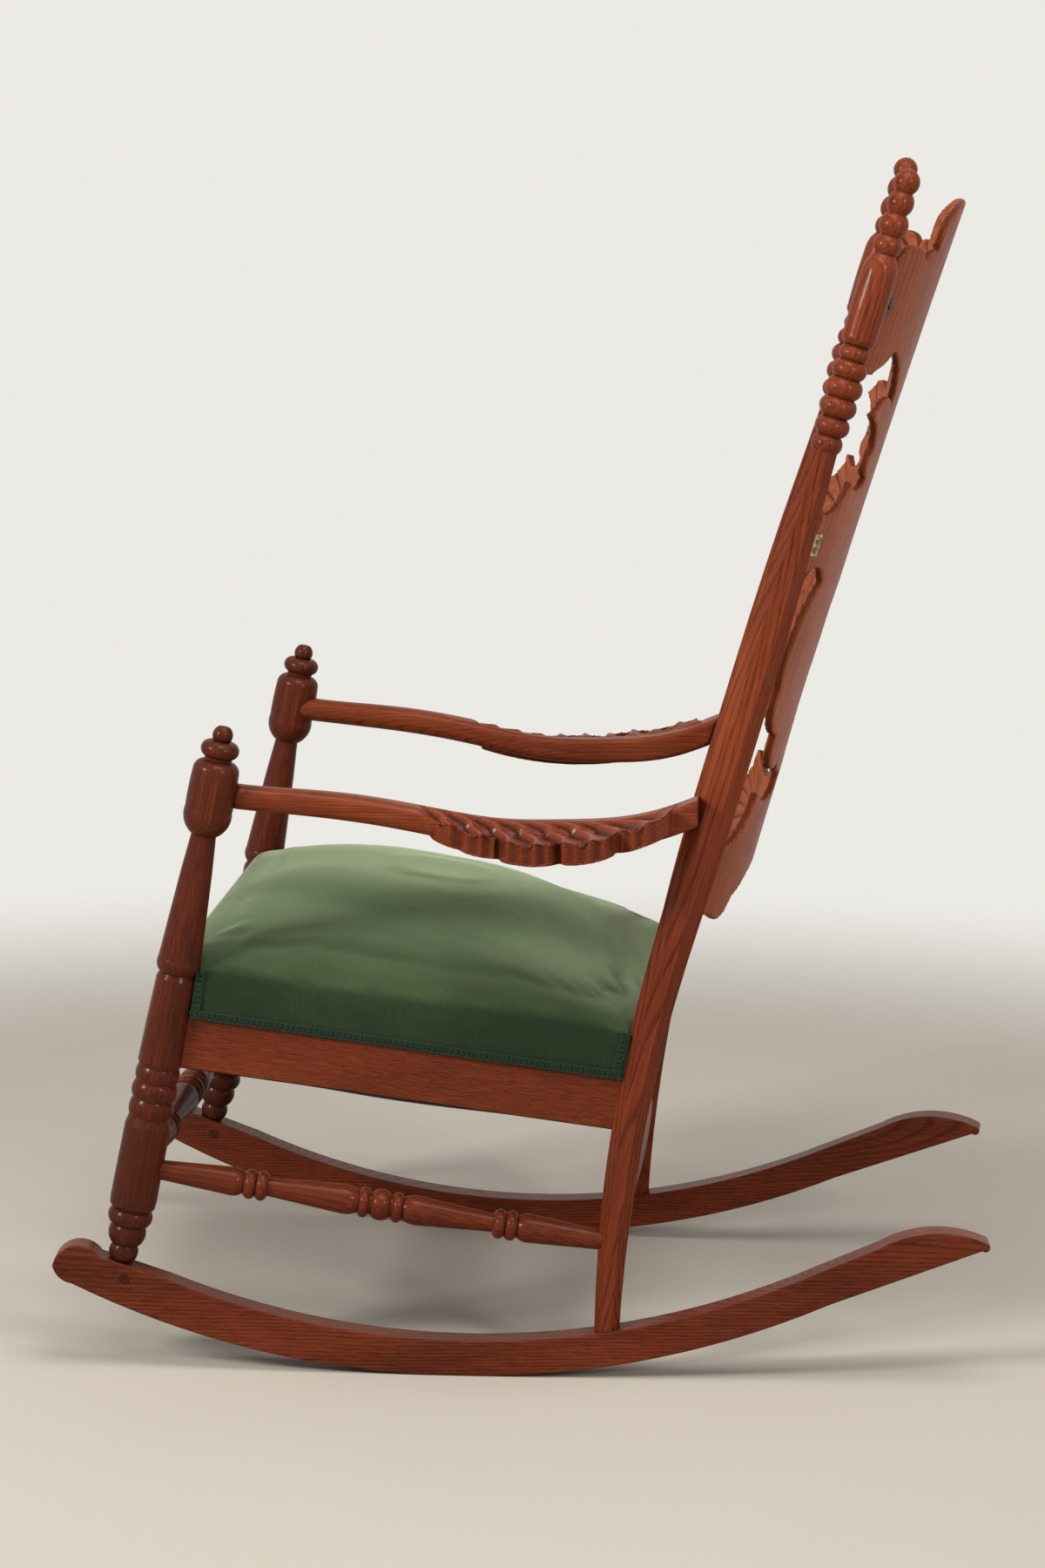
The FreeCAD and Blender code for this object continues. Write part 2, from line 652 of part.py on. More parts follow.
def footprint(front, rear, side_gap, corner):
    """Rounded plan of the seat, drawn in from the outer faces of the velvet."""
    start, end = -size("FrontRailFace") - size("CoverThickness"), size("SeatLength") + 14
    slope = math.tan(math.radians(rail_turn()))
    first, last = start + front, end - rear

    def half(y):
        return size("SeatFrontHalf") + size("CoverThickness") - y * slope - side_gap

    bend = corner * (1 - math.sqrt(0.5))
    plan = Outline(-half(first) + corner, first).line(half(first) - corner, first)
    plan.arc(half(first) - bend, first + bend, half(first + corner), first + corner)
    plan.line(half(last - corner), last - corner)
    plan.arc(half(last) - bend, last - bend, half(last) - corner, last).line(-half(last) + corner, last)
    plan.arc(-half(last) + bend, last - bend, -half(last - corner), last - corner)
    plan.line(-half(first + corner), first + corner)
    return plan.arc(-half(first) + bend, first + bend, -half(first) + corner, first)


# Sections of the cushion: share of its height, and how far each is drawn in at the front, at the rear
# and at the sides, with the radius of its corners
CROWN = (
    (0, 0, 0, 0, 14), (22, 5, 6, 1.5, 24), (39, 10, 15, 8, 52), (51, 17, 29, 24, 92), (62, 27, 47, 52, 125),
    (74, 43, 71, 88, 140), (85, 66, 98, 124, 125), (96, 104, 130, 160, 95), (103, 150, 164, 196, 62),
    (107, 190, 200, 228, 34),
)


def crown(name, inside, base):
    """Cushion above the rails: sides drawn in, a rounded edge and a domed crown."""
    full, sections = CROWN[-1][0], []
    for height, front, rear, gap, corner in CROWN:
        plan = footprint(front + inside, rear + inside, gap + inside, corner)
        level = base + (size("CrownHeight") - inside) * height / full
        place = seat_frame() * Placement(Vector(0, 0, level), Rotation())
        sections.append(solid("crown_section", plan.wire(), place))
    return add("Part::Loft", name, Sections=sections, Solid=True, Ruled=False)


def slab(name, plan, low, high):
    """Flat slab of the seat's plan between two heights above the rails' shown edge."""
    place = seat_frame() * Placement(Vector(0, 0, (low + high) / 2), Rotation())
    return padded(name, plan, f"{high - low}", place)


def hang(x, y, sag):
    """Depth of cloth hung in the seat frame at a place, as a share of its sag."""
    inner = size("SeatFrontHalf") - 8 - y * math.tan(math.radians(rail_turn()))
    across, along = x / inner, (y - size("SeatLength") / 2) / (size("SeatLength") / 2 - 4)
    return sag * max(0, 1 - across ** 2) * max(0, 1 - along ** 2)


def hung_cloth(name, corners, top, sag, thickness, weave=0):
    """Hung strap or cloth between four plan corners, its top a sagging surface."""
    grid = []
    for row in range(9):
        line = []
        for column in range(9):
            along, across = row / 8, column / 8
            front = corners[0] + (corners[1] - corners[0]) * across
            rear = corners[2] + (corners[3] - corners[2]) * across
            spot = front + (rear - front) * along
            drop = weave * (1 - (2 * along - 1) ** 8)
            line.append(Vector(spot.x, spot.y, top - hang(spot.x, spot.y, sag) - drop))
        grid.append(line)
    surface = Part.BSplineSurface()
    surface.interpolate(grid)
    return solid(name, surface.toShape().extrude(Vector(0, 0, -thickness)), seat_frame())


def straps_along():
    """Webbing straps from the front rail to the rear rail, under the crosswise ones."""
    width, thick, top = size("StrapWidth"), size("StrapThickness"), -size("RailShown")
    straps = []
    for middle in (-162, -54, 54, 162):
        edges = (-width / 2, width / 2)
        corners = [Vector(middle + edge, end, 0) for end in (0, size("SeatLength")) for edge in edges]
        straps.append(hung_cloth("strap_along", corners, top, size("StrapSag"), thick, 1.9))
    return straps


def straps_across():
    """Webbing straps from side rail to side rail."""
    width, thick, top = size("StrapWidth"), size("StrapThickness"), -size("RailShown")
    straps = []
    for middle in (90, 184, 278, 372):
        edges = (-width / 2, width / 2)
        half = size("SeatFrontHalf") - 9 - (middle + width / 2) * math.tan(math.radians(rail_turn()))
        corners = [Vector(x, middle + edge, 0) for x in (-half, half) for edge in edges]
        straps.append(hung_cloth("strap_across", corners, top, size("StrapSag"), thick))
    return straps


def dust_cover():
    """Thin cloth that closes the seat from below."""
    slope = math.tan(math.radians(rail_turn()))
    front, rear = 4, size("SeatLength") - 4
    half = size("SeatFrontHalf") - 10
    corners = [Vector(side * (half - y * slope), y, 0) for y in (front, rear) for side in (RIGHT, LEFT)]
    top = -size("RailShown") - size("StrapThickness")
    return hung_cloth("dust_cloth", corners, top, size("DustSag"), size("DustThickness"))


def coil(x, y):
    """Seat spring: one unbroken wire that winds up from the webbing to the burlap."""
    radius, wire, turns = size("SpringRadius"), size("SpringWire"), size("SpringTurns")
    rail_top = size("RailHeight") - size("RailShown")
    rim = [(x + radius * math.cos(step), y + radius * math.sin(step)) for step in (0, 1, 2, 3, 4, 5, 6)]
    highest = max(-hang(a, b, size("StrapSag")) for a, b in rim)
    low = -size("RailShown") + highest + wire
    rise = rail_top - wire - low
    quarters = int(4 * turns)

    def bend(quarter):
        angle = quarter * math.pi / 2
        level = low + rise * quarter / quarters
        return Vector(x + radius * math.cos(angle), y + radius * math.sin(angle), level)

    arcs = [Part.Arc(bend(q), bend(q + 0.5), bend(q + 1)).toShape() for q in range(quarters)]
    path = Part.Wire(arcs)
    start = arcs[0].tangentAt(arcs[0].FirstParameter)
    ring = Part.Wire([Part.makeCircle(wire, bend(0), start)])
    return solid("spring", path.makePipeShell([ring], True, False), seat_frame())


def braid():
    """Strips of braid along the lower edge of the velvet, and up beside the posts."""
    out, thick = size("CoverThickness") + size("BraidThickness"), size("BraidThickness")
    width, first, last = size("BraidWidth"), 22, size("SeatLength") - 18
    strips = []
    for side in SIDES.values():
        strip = box("side_braid", beside(side, first, out, 0, thick), Width="Sizes.BraidThickness",
                    Height="Sizes.BraidWidth")
        strip.Length = last - first
        strips.append(strip)
        for along in (first, last - width - 4):
            place = beside(side, along, out, width, thick, 2.5)
            strips.append(box("post_braid", place, Length="Sizes.BraidWidth", Width="Sizes.BraidThickness",
                              Height="Sizes.BraidRise - Sizes.BraidWidth"))
    front = -size("FrontRailFace") - out
    rear = size("SeatLength") + 14
    for name, half, face in (("front_braid", 262, front), ("rear_braid", 229, rear)):
        strip = box(name, seat_frame() * Placement(Vector(-half, face, 0), Rotation()),
                    Width="Sizes.BraidThickness", Height="Sizes.BraidWidth")
        strip.Length = 2 * half
        strips.append(strip)
    return strips


def corner_block(side, front):
    """Three-cornered block glued between two rails, with its screw into the post."""
    leg, slope = size("BlockLeg"), math.tan(math.radians(rail_turn()))
    face = size("RailThickness") - size("FrontRailFace") if front else size("SeatLength") - 11
    inner = size("SeatFrontHalf") - size("RailThickness") / math.cos(math.atan(slope)) - face * slope
    away = leg if front else -leg
    plan = Outline(side * inner, face).line(side * (inner - leg), face)
    plan.line(side * (inner - away * slope), face + away)
    place = seat_frame() * Placement(Vector(0, 0, -24), Rotation())
    block = padded("corner_block", plan, "Sizes.BlockHeight", place)
    middle = Vector(side * (inner - leg / 2 - away * slope / 2), face + away / 2, -24)
    outward = Vector(side, -1 if front else 1, 0)
    turn = Rotation(UP, outward * -1)
    seat = seat_frame() * Placement(middle, turn)
    return block, screw("block_screw", seat, 46, 0)


# Assembly

def build_chair():
    """Makes every node and seats the joints between them."""
    front_posts, rear_posts, rockers = {}, {}, {}
    for side in SIDES.values():
        front_posts[side] = turned("front_post", front_post_outline(), front_frame(side))
        rear_posts[side] = rear_post_blank(side)
        board = padded("rocker", rocker_outline(), "Sizes.RockerThickness", rocker_frame(side))
        rockers[side] = eased_board(board)
    all_posts = [front_posts[LEFT], front_posts[RIGHT], rear_posts[LEFT], rear_posts[RIGHT]]

    side_rails = {side: side_rail(side) for side in SIDES.values()}
    rear_half = rear_axis(LEFT, 290).x
    front_half = size("FrontHalf")
    front_rail = cross_rail("front_rail", -size("FrontRailFace"), front_half, front_half - 7)
    rear_rail = cross_rail("rear_rail", size("SeatLength") - 11, rear_half, rear_half - 7)

    side_stretchers = {}
    for side in SIDES.values():
        start = front_axis(side, size("SideStretcherFrontZ"))
        end = rear_axis(side, size("SideStretcherRearZ"))
        side_stretchers[side] = stretcher("side_stretcher", start, end, 22.4, 14.5, 1)
    ends = [front_axis(side, size("FrontStretcherZ")) for side in (RIGHT, LEFT)]
    front_bar = stretcher("front_stretcher", *ends, 22.6, 22.6, 1.1)
    ends = [rear_axis(side, size("RearStretcherZ")) for side in (RIGHT, LEFT)]
    rear_bar = stretcher("rear_stretcher", *ends, 15, 15, 0)

    board = cut("board", bent_board(), rear_posts[LEFT], rear_posts[RIGHT])
    brackets = {"top": [], "middle": [], "bottom": []}
    board_screws = []
    for side in SIDES.values():
        top, screws = bracket(side, 140, 206, 10, 2, 9, 17)
        middle, more = bracket(side, -100, 204, 15, 7.5, 11, 22)
        bottom, most = bracket(side, -447, 222, 22, 1.2, 8, 26)
        brackets["top"].append(top)
        brackets["middle"].append(middle)
        brackets["bottom"].append(bottom)
        board_screws += screws + more + most

    blocks, block_screws = [], []
    for side in SIDES.values():
        for front in (True, False):
            block, fixing = corner_block(side, front)
            blocks.append(cut("corner_block", block, *all_posts, fixing))
            block_screws.append(fixing)

    pins, dowels = [], []
    for name, side in SIDES.items():
        reach = size("RockerThickness") / 2
        pin_ends = [rocker_frame(side).multVec(Vector(-389, 91, face)) for face in (-reach, reach)]
        pin = rod("rocker_pin", *pin_ends, "Sizes.PinRadius")
        pins.append(pin)
        dowel = arm_dowel(side)
        dowels.append(dowel)
        rail, tenon = side_rails[side]
        bar = side_stretchers[side]
        front, rear, heel = front_posts[side], rear_posts[side], rear_tenon(side)
        arm_end = arm_tenon(side)
        fittings = [pair[list(SIDES).index(name)] for pair in brackets.values()]

        keep(f"rocker_{name}", cut("rocker", rockers[side], front, heel, pin))
        holes = (pin, tenon, front_rail[1], bar, front_bar, arm_end, *block_screws)
        keep(f"front_post_{name}", cut("front_post", front, *holes))
        leg = fuse("rear_post", cut("rear_leg", rear, rockers[side]), heel)
        holes = (tenon, rear_rail[1], bar, rear_bar, dowel, *fittings, *block_screws)
        keep(f"rear_post_{name}", cut("rear_post", leg, *holes))
        arm = cut("arm", arm_blank(side), front, rear)
        keep(f"arm_{name}", cut("arm", fuse("arm_whole", arm, arm_end), dowel))
        keep(f"seat_rail_{name}", fuse("side_rail_whole", cut("side_rail", rail, front, rear), tenon))
        keep(f"side_stretcher_{name}", bar)

    for name, (rail, tenon) in (("front", front_rail), ("rear", rear_rail)):
        keep(f"seat_rail_{name}", fuse(f"{name}_rail_whole", cut(f"{name}_rail", rail, *all_posts), tenon))
    keep("front_stretcher", front_bar)
    keep("rear_stretcher", rear_bar)
    keep("rocker_pins", group("rocker_pins", pins))
    keep("arm_dowels", group("arm_dowels", dowels))

    every_bracket = [item for pair in brackets.values() for item in pair]
    whole_board = cut("board", board, *every_bracket, *board_screws)
    keep("back_board", whole_board)
    for level, pair in brackets.items():
        drilled = [cut("bracket", item, *board_screws) for item in pair]
        keep(f"board_brackets_{level}", group(f"brackets_{level}", drilled))
    keep("board_screws", group("board_screws", board_screws))
    keep("corner_blocks", group("corner_blocks", blocks))
    keep("corner_block_screws", group("block_screws", block_screws))
    build_upholstery()


def post_clearances():
    """Rods that keep the upholstery clear of the four posts."""
    gaps = []
    for side in SIDES.values():
        low, high = (front_frame(side).multVec(Vector(0, 0, height)) for height in (180, 440))
        gaps.append(rod("front_gap", low, high, "Sizes.FrontPostGap"))
        low, high = ((rear_frame(side) * rear_section(down)).Base for down in (720, 470))
        gaps.append(rod("rear_gap", low, high, "Sizes.RearPostGap"))
    return gaps


def build_upholstery():
    """Webbing, springs, burlap, stuffing, velvet, braid and dust cover."""
    gaps = post_clearances()
    rail_top = size("RailHeight") - size("RailShown")
    skin, deck_top = size("CoverThickness"), rail_top + size("DeckThickness")
    keep("webbing_along", group("webbing_along", straps_along()))
    keep("webbing_across", group("webbing_across", straps_across()))
    springs = [coil(x, y) for x in (-150, 0, 150) for y in (150, 310)]
    keep("seat_springs", group("seat_springs", springs))
    deck = slab("deck", footprint(skin, skin, skin, 12), rail_top, deck_top)
    keep("spring_deck", cut("spring_deck", deck, *gaps))
    pad = crown("pad_crown", skin, deck_top)
    keep("seat_pad", cut("seat_pad", pad, *gaps))
    skirt = slab("skirt", footprint(0, 0, 0, 14), 0, deck_top)
    velvet = fuse("velvet", skirt, crown("velvet_crown", 0, deck_top))
    hollow = slab("hollow", footprint(skin, skin, skin, 12), -1, deck_top)
    inside = crown("velvet_inside", skin, deck_top)
    keep("seat_cover", cut("seat_cover", velvet, hollow, inside, *gaps))
    keep("gimp_braid", group("gimp_braid", braid()))
    keep("dust_cover", dust_cover())


def check_and_export():
    """Refuses failed objects and empty or broken shapes, then writes every node."""
    failed = [item.Name for item in doc.Objects if {"Invalid", "Error"} & set(item.State)]
    if failed:
        raise RuntimeError(f"failed objects: {failed}")
    os.makedirs("parts", exist_ok=True)
    for label, item in nodes.items():
        shape = item.Shape
        if shape.isNull() or not shape.isValid() or not shape.Solids:
            raise RuntimeError(f"bad shape: {label}")
        print(f"{label}: {len(shape.Solids)} solids, {shape.Volume / 1000:.1f} cm3")
        shape.exportStep(os.path.join("parts", f"{label}.step"))


build_chair()
doc.recompute()
check_and_export()
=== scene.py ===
"""Looks of the carved rocking chair: camera, studio, finishes, carving, cushion and trims.

Metres, +Z up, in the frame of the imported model: the chair faces -Y and +X is the sitter's left.
"""

import logging
import math
from contextlib import contextmanager
from dataclasses import dataclass
from enum import Enum
from typing import Any, Iterable, Iterator, Sequence

import bpy
import numpy as np
from mathutils import Matrix, Vector


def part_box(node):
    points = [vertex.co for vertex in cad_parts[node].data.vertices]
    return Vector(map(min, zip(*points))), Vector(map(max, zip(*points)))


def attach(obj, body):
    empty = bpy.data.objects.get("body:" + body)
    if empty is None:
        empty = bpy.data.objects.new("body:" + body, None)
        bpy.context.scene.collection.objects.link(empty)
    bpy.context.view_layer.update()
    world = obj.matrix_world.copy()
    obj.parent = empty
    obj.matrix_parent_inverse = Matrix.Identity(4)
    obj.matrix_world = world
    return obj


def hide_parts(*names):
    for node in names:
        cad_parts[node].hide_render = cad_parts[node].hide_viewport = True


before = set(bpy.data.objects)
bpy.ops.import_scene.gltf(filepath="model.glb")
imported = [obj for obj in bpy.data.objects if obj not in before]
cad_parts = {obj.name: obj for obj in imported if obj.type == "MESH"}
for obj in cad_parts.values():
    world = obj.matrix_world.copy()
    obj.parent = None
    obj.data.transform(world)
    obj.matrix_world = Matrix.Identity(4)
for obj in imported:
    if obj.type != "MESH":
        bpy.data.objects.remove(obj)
log = logging.getLogger("rocking_chair")

Triple = tuple[float, float, float]
SIDES = {"left": 1, "right": -1}

# Leaning frames of the chair: the seat falls to the rear and the back is raked.
SEAT = Matrix.Translation((0, -0.347, 0.3573)) @ Matrix.Rotation(math.radians(-7.43), 4, "X")
BACK = Matrix.Translation((0, 0.2754, 0.9233)) @ Matrix.Rotation(math.radians(-15.35), 4, "X")
SEAT_LENGTH = 0.462
SEAT_FRONT_HALF = 0.295
SEAT_REAR_HALF = 0.255
SEAT_TAPER = (SEAT_FRONT_HALF - SEAT_REAR_HALF) / SEAT_LENGTH

# Loose triangles of the model's meshes are joined within this distance.
MERGE = 0.00002


# Shader maths


class Field:
    """A socket's value in a shader, with arithmetic."""

    def __init__(self, recipe: "Recipe", socket: bpy.types.NodeSocket) -> None:
        """Wraps an output socket."""
        self.recipe = recipe
        self.socket = socket

    def __add__(self, other: "Field | float") -> "Field":
        """Sum."""
        return self.recipe.maths("ADD", self, other)

    def __sub__(self, other: "Field | float") -> "Field":
        """Difference."""
        return self.recipe.maths("SUBTRACT", self, other)

    def __rsub__(self, other: "Field | float") -> "Field":
        """Difference from a number."""
        return self.recipe.maths("SUBTRACT", other, self)

    def __mul__(self, other: "Field | float") -> "Field":
        """Product."""
        return self.recipe.maths("MULTIPLY", self, other)

    def __truediv__(self, other: "Field | float") -> "Field":
        """Quotient."""
        return self.recipe.maths("DIVIDE", self, other)

    __radd__ = __add__
    __rmul__ = __mul__


class Recipe:
    """Node tree of one material."""

    def __init__(self, name: str, tree: bpy.types.NodeTree | None = None) -> None:
        """Starts an empty material, or empties a node tree that is handed in."""
        if tree is None:
            self.material = bpy.data.materials.new(name)
            self.material.use_nodes = True
            tree = self.material.node_tree
        self.tree = tree
        self.tree.nodes.clear()

    def node(
        self, kind: str, settings: dict | None = None, inputs: dict | None = None, output: Any = 0
    ) -> Field:
        """Adds a node.

        Args:
            kind: The node's type.
            settings: Its own properties, set first; stops are those of a colour ramp.
            inputs: Values or fields for its sockets, by name or number.
            output: The output that is handed on.

        Returns:
            That output as a field.
        """
        made = self.tree.nodes.new(kind)
        for name, value in (settings or {}).items():
            if name == "stops":
                ramp = made.color_ramp
                while len(ramp.elements) < len(value):
                    ramp.elements.new(0.5)
                for element, (place, colour) in zip(ramp.elements, value):
                    element.position, element.color = place, (*colour, 1)
            else:
                setattr(made, name, value)
        for name, value in (inputs or {}).items():
            socket = made.inputs[name]
            if isinstance(value, Field):
                self.tree.links.new(value.socket, socket)
            elif isinstance(value, tuple) and socket.type == "RGBA":
                socket.default_value = (*value, 1)
            else:
                socket.default_value = value
        return Field(self, made.outputs[output] if made.outputs else None)

    def maths(self, operation: str, *operands: "Field | float") -> Field:
        """A Math node over its operands."""
        return self.node("ShaderNodeMath", {"operation": operation}, dict(enumerate(operands)))

    def mix(self, factor: "Field | float", first: "Field | Triple", second: "Field | Triple") -> Field:
        """Blend of two colours."""
        return self.node("ShaderNodeMix", {"data_type": "RGBA"}, {0: factor, 6: first, 7: second}, 2)

    def stretch(self, vector: Field, scale: Triple) -> Field:
        """A vector times a scale along each axis."""
        return self.node("ShaderNodeVectorMath", {"operation": "MULTIPLY"}, {0: vector, 1: scale})

    def axis(self, vector: Field, name: str) -> Field:
        """One coordinate of a vector."""
        return self.node("ShaderNodeSeparateXYZ", None, {0: vector}, name)

    def step(self, value: Field, low: float, high: float) -> Field:
        """Smooth step from 0 at one value to 1 at another."""
        settings = {"interpolation_type": "SMOOTHSTEP"}
        return self.node("ShaderNodeMapRange", settings, {0: value, 1: low, 2: high})

    def noise(self, vector: Field, scale: float, detail: float = 2, distortion: float = 0) -> Field:
        """Noise over a vector."""
        values = {"Vector": vector, "Scale": scale, "Detail": detail, "Distortion": distortion}
        return self.node("ShaderNodeTexNoise", None, values)

    def drawn(self, vector: Field, squeeze: float, scale: float, detail: float = 2) -> Field:
        """Noise drawn out along Z, the more the smaller the squeeze is."""
        return self.noise(self.stretch(vector, (1, 1, squeeze)), scale, detail)

    def ramp(self, value: Field, *stops: tuple[float, Triple]) -> Field:
        """Colours by value."""
        return self.node("ShaderNodeValToRGB", {"stops": stops}, {0: value})

    def place(self, centre: Triple = (0, 0, 0), turn: Triple = (0, 0, 0)) -> Field:
        """Object coordinates in a frame of their own."""
        spot = self.node("ShaderNodeTexCoord", output="Object")
        values = {"Vector": spot, "Location": centre, "Rotation": turn}
        return self.node("ShaderNodeMapping", {"vector_type": "TEXTURE"}, values)

    def attribute(self, name: str) -> Field:
        """A value kept on the mesh's points."""
        return self.node("ShaderNodeAttribute", {"attribute_name": name}, output="Fac")

    def seen(self) -> Field:
        """1 for rays from the camera and in reflections, 0 for the light that falls on things."""
        kinds = ("Is Camera Ray", "Is Glossy Ray", "Is Transmission Ray")
        camera, glossy, through = [self.node("ShaderNodeLightPath", output=kind) for kind in kinds]
        return self.maths("MAXIMUM", self.maths("MAXIMUM", camera, glossy), through)

    def bump(self, height: Field, strength: float, distance: float) -> Field:
        """Surface normal from a height."""
        values = {"Height": height, "Strength": strength, "Distance": distance}
        return self.node("ShaderNodeBump", None, values, "Normal")

    def finish(self, **inputs: Any) -> bpy.types.Material:
        """Ends the tree in one principled shader, its sockets named with underscores."""
        named = {name.replace("_", " "): value for name, value in inputs.items()}
        shader = self.node("ShaderNodeBsdfPrincipled", None, named)
        self.node("ShaderNodeOutputMaterial", None, {"Surface": shader})
        return self.material


# Finishes


class Cut(Enum):
    """How a stick was sawn: width of a growth ring, strength of its figure, place of the pith, slant."""

    FLAT = (0.0025, 0.23, (0.050, 0.004), 0.026)
    RAIL = (0.0021, 0.27, (0.014, 0.240), 0.012)
    ROCKER = (0.0034, 0.21, (0.028, 0.070), 0.040)
    BOARD = (0.0030, 0.15, (0.040, 0.300), 0.020)
    ARM = (0.0026, 0.16, (0.030, 0.050), 0.020)
    TURNED = (0.0024, 0.09, (0.034, 0.016), 0.018)


class Fibre(Enum):
    """Direction of the fibres in a stick."""

    LENGTH = (0.0, 1.0, 0.0)
    WIDTH = (1.0, 0.0, 0.0)
    FRONT_POST = (0.0, 0.182, 0.983)
    REAR_POST = (0.0, 0.265, 0.964)
    STRETCHER = (0.0, 0.989, -0.148)
    RAIL = (0.0, 0.992, -0.129)


@dataclass(frozen=True)
class OakFinish:
    """Red-brown stained oak under gloss varnish, its fibres along one axis.

    The tone runs from 0, the colour of grime and painted shade, to 1, pale: a middle tone, less or more by
    streaks, clouds, pores and a darkening low down.
    """

    node: str
    fibre: Fibre
    cut: Cut
    tone: float = 0.0
    carved: bool = False
    gloss: float = 0.15
    middle: float = 0.54
    streaks: float = 0.44
    clouds: float = 0.40
    pored: float = 0.07
    low_darkening: float = 0.07
    even_above: float = 0.58
    darkest_below: float = 0.16
    pale: Triple = (0.37, 0.090, 0.028)
    warm: Triple = (0.190, 0.036, 0.0118)
    deep: Triple = (0.080, 0.0150, 0.0058)
    grime_and_shade: Triple = (0.020, 0.0055, 0.0035)

    def make(self) -> bpy.types.Material:
        """Rings, dark pores and streaks along the fibres, darker low down, painted shade in hollows, and a
        clear coat.
        """
        recipe = Recipe(f"oak_{self.node}")
        low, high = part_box(self.node)
        rings, figure, pith, slant = self.cut.value
        turn = Vector((0, 0, 1)).rotation_difference(Vector(self.fibre.value)).to_euler()
        grain = recipe.place(tuple((low + high) / 2), tuple(turn))
        x, y, z = (recipe.axis(grain, name) for name in "XYZ")
        sway = recipe.drawn(grain, 0.22, 11) - 0.5
        across, depth = x + pith[0], y + pith[1]
        reach = recipe.maths("SQRT", across * across + depth * depth) + slant * z + 0.016 * sway
        ring = recipe.maths("FRACT", reach / rings)
        early = recipe.step(ring, 0.0, 0.12) * (1 - recipe.step(ring, 0.20, 0.50))
        pores = recipe.step(recipe.drawn(grain, 0.022, 1500), 0.46, 0.62)
        streak = recipe.drawn(grain, 0.012, 520, 3) - 0.5
        cloud = recipe.drawn(grain, 0.35, 13) - 0.5
        dark = early * (0.45 + 0.55 * pores)
        height = recipe.axis(recipe.place(), "Z")
        # Darker towards the bottom of the chair, by height.
        lowness = 1 - recipe.step(height, self.darkest_below, self.even_above)
        value = self.middle + self.tone + self.streaks * streak + self.clouds * cloud
        value = value - figure * dark - self.pored * pores - self.low_darkening * lowness
        wood = recipe.ramp(value, (0.0, self.grime_and_shade), (0.30, self.deep), (0.58, self.warm), (0.92, self.pale))
        # Painted shade: ambient occlusion darkens hollows, grooves and joins between parts towards the
        # darkest colour.
        corner = recipe.node("ShaderNodeAmbientOcclusion", {"samples": 6}, {"Distance": 0.011}, "AO")
        wood = recipe.mix((1 - recipe.step(corner, 0.15, 0.85)) * 0.78, wood, self.grime_and_shade)
        if self.carved:
            # Painted shade in the carved grooves, and a painted highlight, with wear, on the ridges between
            # them.
            relief = recipe.attribute("relief")
            wood = recipe.mix(recipe.step(relief, 0.05, 0.95) * 0.80, wood, self.grime_and_shade)
            wood = recipe.mix(recipe.step(0 - relief, 0.1, 0.9) * 0.35, wood, self.pale)
            # Painted highlight, with some wear, along sharp edges.
            edge = recipe.step(recipe.node("ShaderNodeNewGeometry", output="Pointiness"), 0.56, 0.64)
            wood = recipe.mix(edge * 0.55, wood, self.pale)
        scuff = recipe.noise(grain, 55, 3)
        return recipe.finish(
            Base_Color=wood,
            Roughness=0.30 + 0.16 * scuff + 0.10 * dark,
            Specular_IOR_Level=0.04,
            Coat_Weight=self.gloss,
            Coat_Roughness=0.16,
            Normal=recipe.bump(0.15 * scuff - dark - 0.35 * pores, 0.16, 0.0005),
        )


@dataclass(frozen=True)
class VelvetFinish:
    """Green velvet whose pile is brushed into lighter and darker patches."""

    name: str = "green_velvet_pile"
    shade: Triple = (0.009, 0.021, 0.0075)
    body: Triple = (0.026, 0.049, 0.018)
    light: Triple = (0.062, 0.094, 0.040)

    def make(self) -> bpy.types.Material:
        """Painted shade down the sides and painted light on top, brushed patches and a pale sheen towards the
        silhouette.
        """
        recipe = Recipe(self.name)
        spot = recipe.place()
        upward = recipe.axis(recipe.node("ShaderNodeNewGeometry", output="Normal"), "Z")
        brushed = recipe.noise(recipe.stretch(spot, (1.0, 0.7, 1.3)), 8.5, 2.5, 0.7)
        rubbed = recipe.noise(recipe.stretch(spot, (1.6, 0.5, 1.0)), 26, 3, 0.3)
        pile = recipe.noise(spot, 1500, 2)
        ribs = recipe.drawn(spot, 0.06, 420)
        # Painted light on the upward faces and painted shade down the sides, their edge broken by the brushed
        # patches.
        top = recipe.step(upward + 0.42 * (brushed - 0.5), 0.30, 0.62)
        value = 0.24 + 0.36 * top + 0.52 * (brushed - 0.5) + 0.34 * (rubbed - 0.5)
        value += 0.22 * (pile - 0.5) + 0.20 * (ribs - 0.5)
        colour = recipe.ramp(value, (0.18, self.shade), (0.5, self.body), (0.85, self.light))
        return recipe.finish(
            Base_Color=colour,
            Roughness=0.82,
            Specular_IOR_Level=0.18,
            Sheen_Weight=0.75,
            Sheen_Roughness=0.42,
            Sheen_Tint=(0.76, 0.90, 0.58),
            Normal=recipe.bump(pile + 0.4 * ribs, 0.35, 0.0007),
        )


